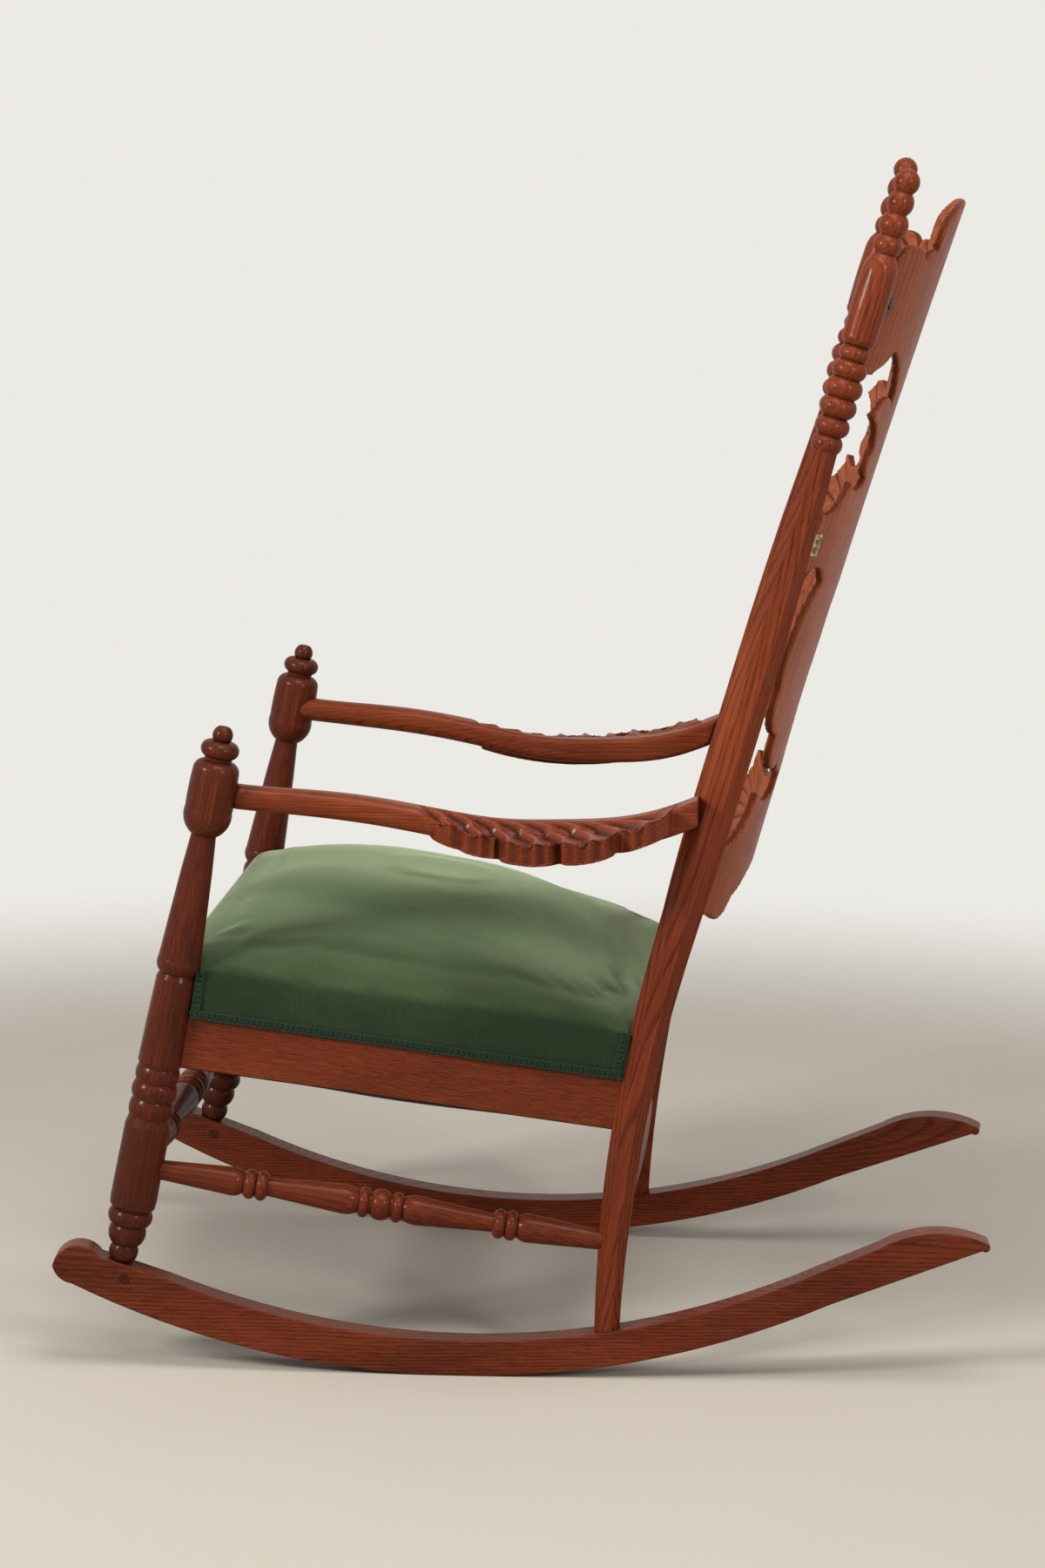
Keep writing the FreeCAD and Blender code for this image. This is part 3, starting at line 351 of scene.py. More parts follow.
@dataclass(frozen=True)
class YarnFinish:
    """Twisted yarn or a plain weave, read along and across one surface."""

    name: str
    light: Triple
    dark: Triple
    pitch: float
    sheen: float = 0.3
    flat: bool = True
    corded: bool = False

    def make(self) -> bpy.types.Material:
        """Threads over and under each other, with uneven colour."""
        recipe = Recipe(self.name)
        spot = recipe.place(tuple(SEAT.translation), tuple(SEAT.to_euler()))
        x, y = (recipe.axis(spot, name) for name in "XY")
        turn = math.tau / self.pitch
        warp, weft = recipe.maths("SINE", x * turn), recipe.maths("SINE", y * turn)
        weave = 0.5 + 0.5 * warp * weft if self.flat else recipe.noise(spot, 1 / self.pitch, 3)
        fuzz = recipe.noise(spot, 0.6 / self.pitch, 4)
        shade = 0.65 * weave + 0.5 * fuzz - 0.1
        # Painted shade: the band between the cords, where the attribute is 0, takes the dark colour.
        if self.corded:
            shade = shade * recipe.attribute("cord")
        colour = recipe.mix(shade, self.dark, self.light)
        return recipe.finish(
            Base_Color=colour,
            Roughness=0.82,
            Specular_IOR_Level=0.2,
            Sheen_Weight=self.sheen,
            Normal=recipe.bump(weave + 0.5 * fuzz, 0.5, self.pitch * 0.25),
        )


@dataclass(frozen=True)
class MetalFinish:
    """Aged metal with tarnish in patches, and brown all over above some height of the chair."""

    name: str
    bright: Triple
    tarnish: Triple
    worn: float = 0.5
    metallic: float = 1.0
    brown_above: float = 9.0
    blend: float = 0.02

    def make(self) -> bpy.types.Material:
        """Patches of tarnish, fine scratches and uneven gloss."""
        recipe = Recipe(self.name)
        spot = recipe.place()
        patch = recipe.step(recipe.noise(spot, 240, 4, 0.5), self.worn - 0.22, self.worn + 0.22)
        scratch = recipe.drawn(spot, 0.1, 2600)
        height = recipe.axis(spot, "Z")
        brown = recipe.step(height, self.brown_above, self.brown_above + self.blend)
        browned = recipe.maths("MAXIMUM", patch, brown)
        return recipe.finish(
            Base_Color=recipe.mix(browned, self.bright, self.tarnish),
            Metallic=self.metallic,
            Roughness=0.26 + 0.30 * patch + 0.12 * scratch,
            Normal=recipe.bump(scratch + 0.6 * patch, 0.18, 0.0002),
        )


# Mesh work


def pick(*pieces: bpy.types.Object) -> None:
    """Selects these objects only and makes the first one active."""
    bpy.ops.object.select_all(action="DESELECT")
    for piece in pieces:
        piece.select_set(True)
    bpy.context.view_layer.objects.active = pieces[0]


@contextmanager
def editing(piece: bpy.types.Object) -> Iterator[None]:
    """Edit mode on one piece, which starts with all of it selected."""
    pick(piece)
    bpy.ops.object.mode_set(mode="EDIT")
    bpy.ops.mesh.select_all(action="SELECT")
    yield
    bpy.ops.object.mode_set(mode="OBJECT")


def apply(piece: bpy.types.Object, kind: str, **settings: Any) -> None:
    """Adds a modifier with its settings and applies it."""
    pick(piece)
    made = piece.modifiers.new(kind.lower(), kind)
    for name, value in settings.items():
        setattr(made, name, value)
    bpy.ops.object.modifier_apply(modifier=made.name)


def relax(piece: bpy.types.Object, times: int) -> None:
    """Smooths a surface a number of times."""
    apply(piece, "SMOOTH", factor=0.5, iterations=times)


def remesh(piece: bpy.types.Object, voxel: float) -> None:
    """Covers a solid in an even mesh of small squares."""
    apply(piece, "REMESH", mode="VOXEL", voxel_size=voxel)


def placed(name: str, data: bpy.types.ID) -> bpy.types.Object:
    """A new object of the scene with this data."""
    item = bpy.data.objects.new(name, data)
    bpy.context.scene.collection.objects.link(item)
    return item


def copy_of(node: str, name: str) -> bpy.types.Object:
    """A node's mesh as a new object, its loose triangles merged."""
    piece = placed(name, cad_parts[node].data.copy())
    piece.data.materials.clear()
    with editing(piece):
        bpy.ops.mesh.remove_doubles(threshold=MERGE)
    return piece


def points_of(piece: bpy.types.Object, value: str = "co") -> np.ndarray:
    """Vertex places, or another vector of each vertex, as rows."""
    flat = np.empty(len(piece.data.vertices) * 3)
    piece.data.vertices.foreach_get(value, flat)
    return flat.reshape(-1, 3)


def normals_of(piece: bpy.types.Object) -> np.ndarray:
    """Vertex normals as rows."""
    return points_of(piece, "normal")


def mark_points(piece: bpy.types.Object, name: str, values: np.ndarray) -> None:
    """Keeps a value on each vertex, for a shader to read."""
    piece.data.attributes.new(name, "FLOAT", "POINT").data.foreach_set("value", values)


def move_points(piece: bpy.types.Object, places: np.ndarray) -> None:
    """Puts every vertex at its row's place."""
    piece.data.vertices.foreach_set("co", places.ravel())
    piece.data.update()


def moved(places: np.ndarray, matrix: Matrix) -> np.ndarray:
    """Places moved by a matrix."""
    rows = np.array(matrix)
    return places @ rows[:3, :3].T + rows[:3, 3]


def smooth(value: np.ndarray, low: float, high: float) -> np.ndarray:
    """Smooth step from 0 to 1 between two values."""
    share = np.clip((value - low) / (high - low), 0, 1)
    return share * share * (3 - 2 * share)


def gouge(
    phase: np.ndarray, lean: float = 0.72, crescent_width: float = 0.13, ridge_width: float = 0.09
) -> tuple[np.ndarray, np.ndarray]:
    """Row of gouge cuts that lean to one side.

    Args:
        phase: Place across the cuts, one cut to each whole number.
        lean: Where each cut is deepest.
        crescent_width: Width of the crescent of painted shade beside the deepest line.
        ridge_width: Width of the ridge between two cuts, lighter by wear and a painted highlight.

    Returns:
        Depth, 0 on the ridges and 1 at the bottoms, and painted shade, 1 in the crescent under the steep
        side and below 0 on the ridge, where it is a painted highlight with wear.
    """
    share = np.mod(phase, 1.0)
    skewed = np.where(share < lean, share / lean, (1 - share) / (1 - lean))
    crescent = np.exp(-(((share - lean - 0.03) / crescent_width) ** 2))
    ridge = np.exp(-((np.minimum(share, 1 - share) / ridge_width) ** 2))
    return np.sin(skewed * math.pi / 2) ** 1.3, crescent - 0.7 * ridge


def finish_piece(piece: bpy.types.Object, material: bpy.types.Material, slot: str, *nodes: str) -> None:
    """Gives a piece its material and body, and hides the nodes that it stands for."""
    piece.data.materials.clear()
    piece.data.materials.append(material)
    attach(piece, "root")
    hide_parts(*nodes)
    log.info("%s: %d faces", piece.name, len(piece.data.polygons))


# Carved pieces


@dataclass
class Carving:
    """A piece of wood whose surface is cut by hand after it is shaped, level in a frame of its own."""

    node: str
    name: str
    voxel: float
    ease: int = 4
    level: Matrix = Matrix.Identity(4)

    def cut(self, places: np.ndarray, normals: np.ndarray) -> tuple[np.ndarray, np.ndarray]:
        """Move of each point, and its painted shade from -1, a painted highlight with wear on a ridge, to 1
        in a groove.
        """
        raise NotImplementedError

    def build(self) -> bpy.types.Object:
        """Remeshes the plain solid evenly, lays it back on its surface, eases its edges and cuts it.

        Returns:
            The carved piece.
        """
        piece = copy_of(self.node, self.name)
        piece.data.transform(self.level.inverted())
        remesh(piece, self.voxel)
        piece.data.transform(self.level)
        apply(piece, "SHRINKWRAP", target=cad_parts[self.node], wrap_method="NEAREST_SURFACEPOINT")
        relax(piece, self.ease)
        places, normals = points_of(piece), normals_of(piece)
        moves, shade = self.cut(places, normals)
        move_points(piece, places + moves)
        relax(piece, 2)
        mark_points(piece, "relief", shade)
        piece.data.shade_smooth()
        return piece

    def dress(self, piece: bpy.types.Object, finish: OakFinish) -> None:
        """Stains and varnishes the piece."""
        finish_piece(piece, finish.make(), "stained_oak", self.node)


@dataclass
class CarvedArm(Carving):
    """Arm with a fan of curved flutes that sweep out and back to a scalloped rim.

    Inner is how far out the fan begins. It fades in and out over these shifts of its front and rear.
    """

    inner: float = 0.259
    front: float = -0.100
    rear: float = 0.138
    fade_in: tuple[float, float] = (-0.012, 0.008)
    fade_out: tuple[float, float] = (-0.030, 0.012)
    sweep: float = 0.058
    reach: float = 0.066
    flutes: float = 9.0
    depth: float = 0.0068
    rim: float = 0.0044

    def cut(self, places: np.ndarray, normals: np.ndarray) -> tuple[np.ndarray, np.ndarray]:
        """Flutes on top of the fan that run out in coves down its rim."""
        out, along = np.abs(places[:, 0]), places[:, 1]
        share = np.clip((out - self.inner) / self.reach, 0, 1)
        curl = np.sqrt(share * (2 - share))
        phase = (along - self.front - self.sweep * curl) / ((self.rear - self.front) / self.flutes)
        span = smooth(along, *(self.front + shift for shift in self.fade_in))
        span *= 1 - smooth(along, *(self.rear + shift for shift in self.fade_out))
        top = smooth(normals[:, 2], 0.05, 0.60) * smooth(share, 0.02, 0.16) * span
        edge = smooth(share, 0.35, 0.6) * (1 - smooth(np.abs(normals[:, 2]), 0.45, 0.95)) * span
        hollow, shade = gouge(phase)
        cove = np.abs(np.sin(2 * math.pi * phase))
        moves = np.zeros_like(places)
        moves[:, 0] = -np.sign(places[:, 0]) * edge * cove * self.rim
        moves[:, 2] = -top * hollow * self.depth * (0.5 + 0.5 * smooth(share, 0.0, 0.35))
        # Painted shade in the flutes' crescents and the rim's coves, and a painted highlight on the ridges
        # and arrises between them.
        return moves, shade * top * (1 - edge) + (0.95 * cove - 0.45) * edge


@dataclass(frozen=True)
class Leaf:
    """Fan of flutes on the board: its root, the middle of its spread and how far it reaches."""

    across: float
    height: float
    heading: float
    spread: float
    start: float
    end: float
    flutes: int
    swirl: float = 0.0


@dataclass
class CarvedBoard(Carving):
    """Back board with leaves carved on its front."""

    depth: float = 0.0026
    shadow: float = 0.80
    leaves: tuple[Leaf, ...] = (
        Leaf(0.000, 0.105, 90, 150, 0.030, 0.150, 11),
        Leaf(0.060, 0.118, 14, 80, 0.035, 0.175, 8, 0.5),
        Leaf(0.040, 0.005, 18, 90, 0.030, 0.115, 6, -0.4),
        Leaf(0.066, -0.118, 12, 86, 0.030, 0.150, 7, 0.5),
        Leaf(0.070, -0.330, 62, 70, 0.030, 0.165, 6, -0.5),
        Leaf(0.060, -0.420, -6, 84, 0.030, 0.180, 8, 0.4),
    )

    def cut(self, places: np.ndarray, normals: np.ndarray) -> tuple[np.ndarray, np.ndarray]:
        """Leaves on the front face, mirrored about the middle."""
        local = moved(places, BACK.inverted())
        facing = np.array(BACK.to_3x3().inverted()) @ normals.T
        front = smooth(-facing[1], 0.25, 0.6)
        across, height = np.abs(local[:, 0]), local[:, 2]
        depth, shade = np.zeros(len(places)), np.zeros(len(places))
        for leaf in self.leaves:
            x, y = across - leaf.across, height - leaf.height
            radius = np.hypot(x, y)
            share = (radius - leaf.start) / (leaf.end - leaf.start)
            angle = np.degrees(np.arctan2(y, x)) - leaf.heading + 30 * leaf.swirl * share
            phase = (angle / leaf.spread + 0.5) * leaf.flutes
            inside = smooth(share, 0.0, 0.25) * (1 - smooth(share, 0.94, 1.0))
            inside *= 1 - smooth(np.abs(angle), leaf.spread * 0.5 - 4, leaf.spread * 0.5)
            # tint is the painted shade of the cuts, with a painted highlight on their ridges.
            cut, tint = gouge(phase)
            cut *= inside * (0.4 + 0.6 * np.clip(share, 0, 1))
            deeper = cut > depth
            depth = np.where(deeper, cut, depth)
            shade = np.where(deeper, tint * inside, shade)
        # Painted shadow on the sawn side walls, which lie across the board's faces.
        sawn = 1 - smooth(np.abs(facing[1]), 0.25, 0.65)
        return -normals * (depth * front * self.depth)[:, None], shade * front + self.shadow * sawn


# Upholstery


@dataclass
class VelvetSeat:
    """Sprung seat covered in velvet, puffed by a cloth simulation and drawn down over the rails.

    Three values for the rails are those of the front rail, the rear rail and the side rails, in the seat's
    frame: the faces that the velvet clears, and how near a point has to be. Under the hem go the faces
    inside the front and rear limits and below the height. Each post has its foot, its head and its radius.
    """

    voxel: float = 0.006
    cover: float = 0.0022
    pressure: float = 4.0
    cap: float = 0.0035
    hem: float = 0.026
    courses: int = 3
    cloth: float = 0.0015
    hug: float = 0.0035
    grip: tuple[float, float] = (0.002, 0.012)
    held_below: float = 0.030
    frames: int = 20
    rails: tuple[float, float, float] = (-0.0106, SEAT_LENGTH + 0.0136, -0.0026)
    near_rails: tuple[float, float, float] = (0.004, SEAT_LENGTH + 0.002, 0.006)
    fade: tuple[float, float] = (0.002, 0.032)
    under: tuple[float, float, float] = (-0.008, SEAT_LENGTH + 0.011, 0.016)
    posts: tuple[tuple[Triple, Triple, float], ...] = (
        ((0.289, -0.3991, 0.073), (0.289, -0.294, 0.642), 0.0226),
        ((0.2517, 0.0986, 0.2262), (0.2437, 0.1510, 0.4703), 0.0214),
    )

    def puff(self, piece: bpy.types.Object) -> None:
        """Blows the stuffing out under its cover and caps how far any point moves."""
        start, outward = points_of(piece), normals_of(piece)
        held = piece.vertex_groups.new(name="held")
        low = np.nonzero(moved(start, SEAT.inverted())[:, 2] < self.held_below)[0]
        held.add([int(index) for index in low], 1.0, "REPLACE")
        cloth = piece.modifiers.new("cloth", "CLOTH")
        cloth.settings.use_pressure = True
        cloth.settings.uniform_pressure_force = self.pressure
        cloth.settings.vertex_group_mass = "held"
        cloth.settings.effector_weights.gravity = 0
        scene = bpy.context.scene
        for step in range(self.frames):
            scene.frame_set(step + 1)
        pick(piece)
        bpy.ops.object.modifier_apply(modifier="cloth")
        scene.frame_set(1)
        rise = np.sum((points_of(piece) - start) * outward, axis=1)
        log.info("cushion puffed %.1f mm at most", 1000 * rise.max())
        rise = self.cap * np.tanh(np.maximum(rise, 0) / self.cap)
        move_points(piece, start + outward * rise[:, None])

    def press(self, piece: bpy.types.Object) -> None:
        """Closes the cover up to the four posts."""
        places = points_of(piece)
        for low, high, radius in self.posts:
            for side in SIDES.values():
                start = np.array((side * low[0], low[1], low[2]))
                axis = np.array((side * high[0], high[1], high[2])) - start
                axis /= np.linalg.norm(axis)
                away = places - start
                away -= (away @ axis)[:, None] * axis
                reach = np.linalg.norm(away, axis=1)
                pull = self.hug * (1 - smooth(reach, radius + self.grip[0], radius + self.grip[1]))
                places -= away / np.maximum(reach, 1e-6)[:, None] * pull[:, None]
        move_points(piece, places)

    def clear_rails(self, piece: bpy.types.Object) -> None:
        """Moves the lower edge out of the rails' outer faces, and less and less further up."""
        local = moved(points_of(piece), SEAT.inverted())
        front, rear, beside = self.rails
        near_front, near_rear, near_side = self.near_rails
        low = 1 - smooth(local[:, 2], self.hem + self.fade[0], self.hem + self.fade[1])
        x, y = local[:, 0].copy(), local[:, 1].copy()
        local[:, 1] += low * np.where(y < near_front, np.minimum(front - y, 0), 0)
        local[:, 1] += low * np.where(y > near_rear, np.maximum(rear - y, 0), 0)
        inside = SEAT_FRONT_HALF - y * SEAT_TAPER - np.abs(x)
        local[:, 0] += low * np.where(inside < near_side, np.maximum(inside - beside, 0), 0) * np.sign(x)
        move_points(piece, moved(local, SEAT))

    def draw_down(self, piece: bpy.types.Object) -> None:
        """Cuts off the underside, draws the velvet down over the rails and opens it round the posts."""
        up = SEAT.to_3x3() @ Vector((0, 0, 1))
        down = -up * self.hem / self.courses
        with editing(piece):
            bpy.ops.mesh.bisect(plane_co=SEAT @ Vector((0, 0, self.hem)), plane_no=up, clear_inner=True)
            bpy.ops.mesh.select_all(action="SELECT")
            bpy.ops.mesh.region_to_loop()
            for _ in range(self.courses):
                bpy.ops.mesh.extrude_region_move(TRANSFORM_OT_translate={"value": down})
            bpy.ops.mesh.select_all(action="DESELECT")
        self.clear_rails(piece)
        x, y, z = moved(points_of(piece), SEAT.inverted()).T
        front, rear, height = self.under
        beside = SEAT_FRONT_HALF - y * SEAT_TAPER - np.abs(x)
        inside = np.minimum(beside, np.minimum(y - front, rear - y))
        for face in piece.data.polygons:
            corners = list(face.vertices)
            face.select = bool(z[corners].min() < height and inside[corners].min() > 0.001)
        bpy.ops.object.mode_set(mode="EDIT")
        bpy.ops.mesh.delete(type="FACE")
        bpy.ops.object.mode_set(mode="OBJECT")

    def build(self) -> bpy.types.Object:
        """Makes the cushion from the stuffing's own form.

        Returns:
            The velvet seat.
        """
        piece = copy_of("seat_pad", "velvet_seat")
        remesh(piece, self.voxel)
        relax(piece, 3)
        places, normals = points_of(piece), normals_of(piece)
        move_points(piece, places + normals * self.cover)
        self.puff(piece)
        self.press(piece)
        self.draw_down(piece)
        apply(piece, "SOLIDIFY", thickness=self.cloth, offset=-1)
        apply(piece, "SUBSURF", levels=1, render_levels=1)
        piece.data.shade_smooth()
        return piece

    def dress(self, piece: bpy.types.Object) -> None:
        """Covers the seat in velvet."""
        finish_piece(piece, VelvetFinish().make(), "green_velvet", "seat_cover")


@dataclass
class Stuffing:
    """Hair and cotton felt, pressed in a little by the velvet over it."""

    voxel: float = 0.008
    give: float = 0.0025

    def build(self) -> bpy.types.Object:
        """Softens the model's own form of the stuffing.

        Returns:
            The stuffing.
        """
        piece = copy_of("seat_pad", "felt_stuffing")
        remesh(piece, self.voxel)
        relax(piece, 2)
        move_points(piece, points_of(piece) - normals_of(piece) * self.give)
        piece.data.shade_smooth()
        return piece

    def dress(self, piece: bpy.types.Object) -> None:
        """Covers the stuffing in felt."""
        finish = YarnFinish("cotton_felt", (0.74, 0.70, 0.62), (0.48, 0.43, 0.35), 0.004, flat=False)
        finish_piece(piece, finish.make(), "stuffing", "seat_pad")


@dataclass
class GimpBraid:
    """Looped braid: a flat band under two cords that wind side by side in close loops.

    Ends are those of the strips along the sides. Each crossing strip has its half length, the face that it
    lies on and the way that it looks. Each cord has its shift along the braid, in loops, and its lift.
    """

    width: float = 0.0092
    thickness: float = 0.0009
    pitch: float = 0.0056
    cord: float = 0.00082
    steps: int = 12
    proud: float = 0.0036
    rise: float = 0.046
    lean: float = 0.0014
    tilt: float = 0.0042
    ends: tuple[float, float] = (0.0215, SEAT_LENGTH - 0.0165)
    clear: float = 0.0012
    crossing: tuple[tuple[float, float, int], ...] = ((0.262, -0.008, -1), (0.229, 0.473, 1))
    loops: tuple[tuple[float, float], ...] = ((0.0, 0.9), (0.34, 1.2))
    curl: float = 0.20

    def beside(self, side: int, along: float, out: float, height: float) -> Vector:
        """Place along a side rail, out of its face and above the velvet's lower edge."""
        turn = math.atan2(SEAT_FRONT_HALF - SEAT_REAR_HALF, SEAT_LENGTH)
        x = side * (SEAT_FRONT_HALF - along * math.sin(turn) + out * math.cos(turn))
        return SEAT @ Vector((x, along * math.cos(turn) + out * math.sin(turn), height))

    def strips(self) -> list[tuple[Vector, Vector, Vector]]:
        """Start, end and outward normal of each strip, along the rails and up beside the posts."""
        middle, out, strips = self.width / 2, self.proud, []
        first, last = self.ends
        for side in SIDES.values():
            normal = (self.beside(side, 0, 1, 0) - self.beside(side, 0, 0, 0)).normalized()
            start, end = (self.beside(side, along, out, middle) for along in self.ends)
            strips.append((start, end, normal))
            for along, tilt in ((first + middle, 0.0), (last - middle - self.clear, self.tilt)):
                low = self.beside(side, along, out, self.width)
                strips.append((low, self.beside(side, along + tilt, out - self.lean, self.rise), normal))
        for half, face, toward in self.crossing:
            start, end = (SEAT @ Vector((x, face + toward * out, middle)) for x in (-half, half))
            strips.append((start, end, (SEAT.to_3x3() @ Vector((0, toward, 0))).normalized()))
        return strips

    def cords(self, length: float) -> Iterable[list[Triple]]:
        """Lines of the two cords over a strip: along it, across it and out of it."""
        count = max(2, round(length / self.pitch)) * self.steps
        swing, back = self.width * 0.5 - self.cord, self.pitch * self.curl
        for shift, lift in self.loops:
            line = []
            for step in range(count + 1):
                turn = math.tau * (step / self.steps + shift)
                along = length * step / count - back * math.sin(2 * turn)
                line.append((along, swing * math.sin(turn), self.cord * (lift + 0.5 * math.cos(turn))))
            yield line

    def build(self) -> bpy.types.Object:
        """Lays the bands and winds the cords as swept curves, then joins them.

        Returns:
            The braid as one mesh.
        """
        curve = bpy.data.curves.new("gimp_cords", "CURVE")
        curve.dimensions, curve.bevel_depth, curve.bevel_resolution = "3D", self.cord, 1
        curve.resolution_u = 1
        bands = []
        for start, end, normal in self.strips():
            along = end - start
            length = along.length
            along.normalize()
            across = normal.cross(along)
            for line in self.cords(length):
                spline = curve.splines.new("POLY")
                spline.points.add(len(line) - 1)
                for point, (a, b, c) in zip(spline.points, line):
                    point.co = (*(start + along * a + across * b + normal * c), 1)
            bands.append(self.band(start, end, across, normal))
        cords = placed("gimp_cords", curve)
        pick(cords)
        bpy.ops.object.convert(target="MESH")
        # The cords get 1 and the joined bands 0, which paints shade on the band between the cords.
        mark_points(cords, "cord", np.ones(len(cords.data.vertices)))
        pick(cords, *bands)
        bpy.ops.object.join()
        cords.name = "gimp_scrolls"
        cords.data.shade_smooth()
        return cords

    def band(self, start: Vector, end: Vector, across: Vector, normal: Vector) -> bpy.types.Object:
        """Flat band under the cords, its edges drawn in."""
        bpy.ops.mesh.primitive_cube_add(size=1)
        band = bpy.context.object
        middle = (start + end) / 2 - normal * self.thickness * 0.5
        edges = (end - start, across * self.width * 0.84, normal * self.thickness)
        axes = Matrix(edges).transposed().to_4x4()
        band.data.transform(Matrix.Translation(middle) @ axes)
        apply(band, "BEVEL", width=self.thickness * 0.45, segments=2)
        return band

    def dress(self, piece: bpy.types.Object) -> None:
        """Dyes the braid dark green."""
        light, dark = (0.026, 0.062, 0.031), (0.0030, 0.0080, 0.0042)
        finish = YarnFinish("green_gimp", light, dark, 0.0009, 0.04, flat=False, corded=True)
        finish_piece(piece, finish.make(), "green_braid", "gimp_braid")


@dataclass
class DustCover:
    """Black cloth stretched under the seat, which sags with the webbing."""

    sag: float = 0.044
    level: float = -0.0537
    inset: float = 0.010
    gap: float = 0.004
    ripple: float = 0.0008
    cells: int = 36
    cloth: float = 0.0006

    def build(self) -> bpy.types.Object:
        """Shapes a grid to the rails and lets it sag.

        Returns:
            The cloth.
        """
        bpy.ops.mesh.primitive_grid_add(x_subdivisions=self.cells, y_subdivisions=self.cells, size=2)
        piece = bpy.context.object
        piece.name = "cambric_cover"
        x, y, _ = points_of(piece).T
        along = (y + 1) / 2
        reach = SEAT_FRONT_HALF - self.inset + (SEAT_REAR_HALF - SEAT_FRONT_HALF) * along
        free = (1 - x**2) * (1 - y**2)
        height = self.level - self.sag * free + self.ripple * np.sin(x * 9 + 2) * np.sin(y * 7) * free
        local = np.stack([x * reach, self.gap + along * (SEAT_LENGTH - 2 * self.gap), height], 1)
        move_points(piece, moved(local, SEAT))
        apply(piece, "SOLIDIFY", thickness=self.cloth, offset=0)
        piece.data.shade_smooth()
        return piece

    def dress(self, piece: bpy.types.Object) -> None:
        finish = YarnFinish("black_cambric_weave", (0.030, 0.028, 0.026), (0.008, 0.008, 0.008), 0.0011, 0.05)
        finish_piece(piece, finish.make(), "black_cambric", "dust_cover")


# Hardware


@dataclass
class ScrewHeads:
    """Domed slotted screws in the brackets, where the model's own screws stand."""

    radius: float = 0.0036
    height: float = 0.0019
    slot: float = 0.0009
    sunk: float = 0.45
    rim: float = 0.0004
    first_turn: float = 0.7
    next_turn: float = 1.9

    def build(self) -> bpy.types.Object:
        """Finds each screw, makes one head and sets a copy on every shank.

        Returns:
            All the screws as one piece.
        """
        source = copy_of("board_screws", "screw_shanks")
        with editing(source):
            bpy.ops.mesh.separate(type="LOOSE")
        shanks = [item for item in bpy.context.selected_objects if item.type == "MESH"]
        pattern = self.head()
        heads = []
        for index, shank in enumerate(shanks):
            places = points_of(shank)
            centre = places.mean(0)
            _, _, axes = np.linalg.svd(places - centre, full_matrices=False)
            axis = axes[0]
            along = (places - centre) @ axis
            wide = np.linalg.norm(places - centre - along[:, None] * axis, axis=1) > self.radius * 0.8
            if along[wide].mean() < 0:
                axis, along = -axis, -along
            seat = Vector(centre + axis * along[wide].min())
            turn = Vector((0, 0, 1)).rotation_difference(Vector(axis)).to_matrix().to_4x4()
            twist = Matrix.Rotation(self.first_turn + self.next_turn * index, 4, "Z")
            head = placed(f"head_{index}", pattern.data.copy())
            head.data.transform(Matrix.Translation(seat) @ turn @ twist)
            heads.append(head)
        bpy.data.objects.remove(pattern)
        pick(*shanks, *heads)
        bpy.ops.object.join()
        piece = bpy.context.object
        piece.name = "slotted_screws"
        return piece

    def head(self) -> bpy.types.Object:
        """One head: a low dome with a slot sunk across it."""
        bpy.ops.mesh.primitive_uv_sphere_add(segments=28, ring_count=14, radius=self.radius * 1.02)
        head = bpy.context.object
        places = points_of(head)
        places[:, 2] = np.maximum(places[:, 2], 0) * self.height / self.radius
        channel = 1 - smooth(np.abs(places[:, 0]), self.slot * 0.45, self.slot * 0.75)
        places[:, 2] -= channel * (places[:, 2] > self.rim) * self.height * self.sunk
        move_points(head, places)
        head.data.shade_smooth()
        return head

    def dress(self, piece: bpy.types.Object) -> None:
        """Tarnishes the screws."""
        finish = MetalFinish("screw_brass", (0.46, 0.33, 0.16), (0.12, 0.075, 0.040), brown_above=1.02)
        finish_piece(piece, finish.make(), "brass", "board_screws")


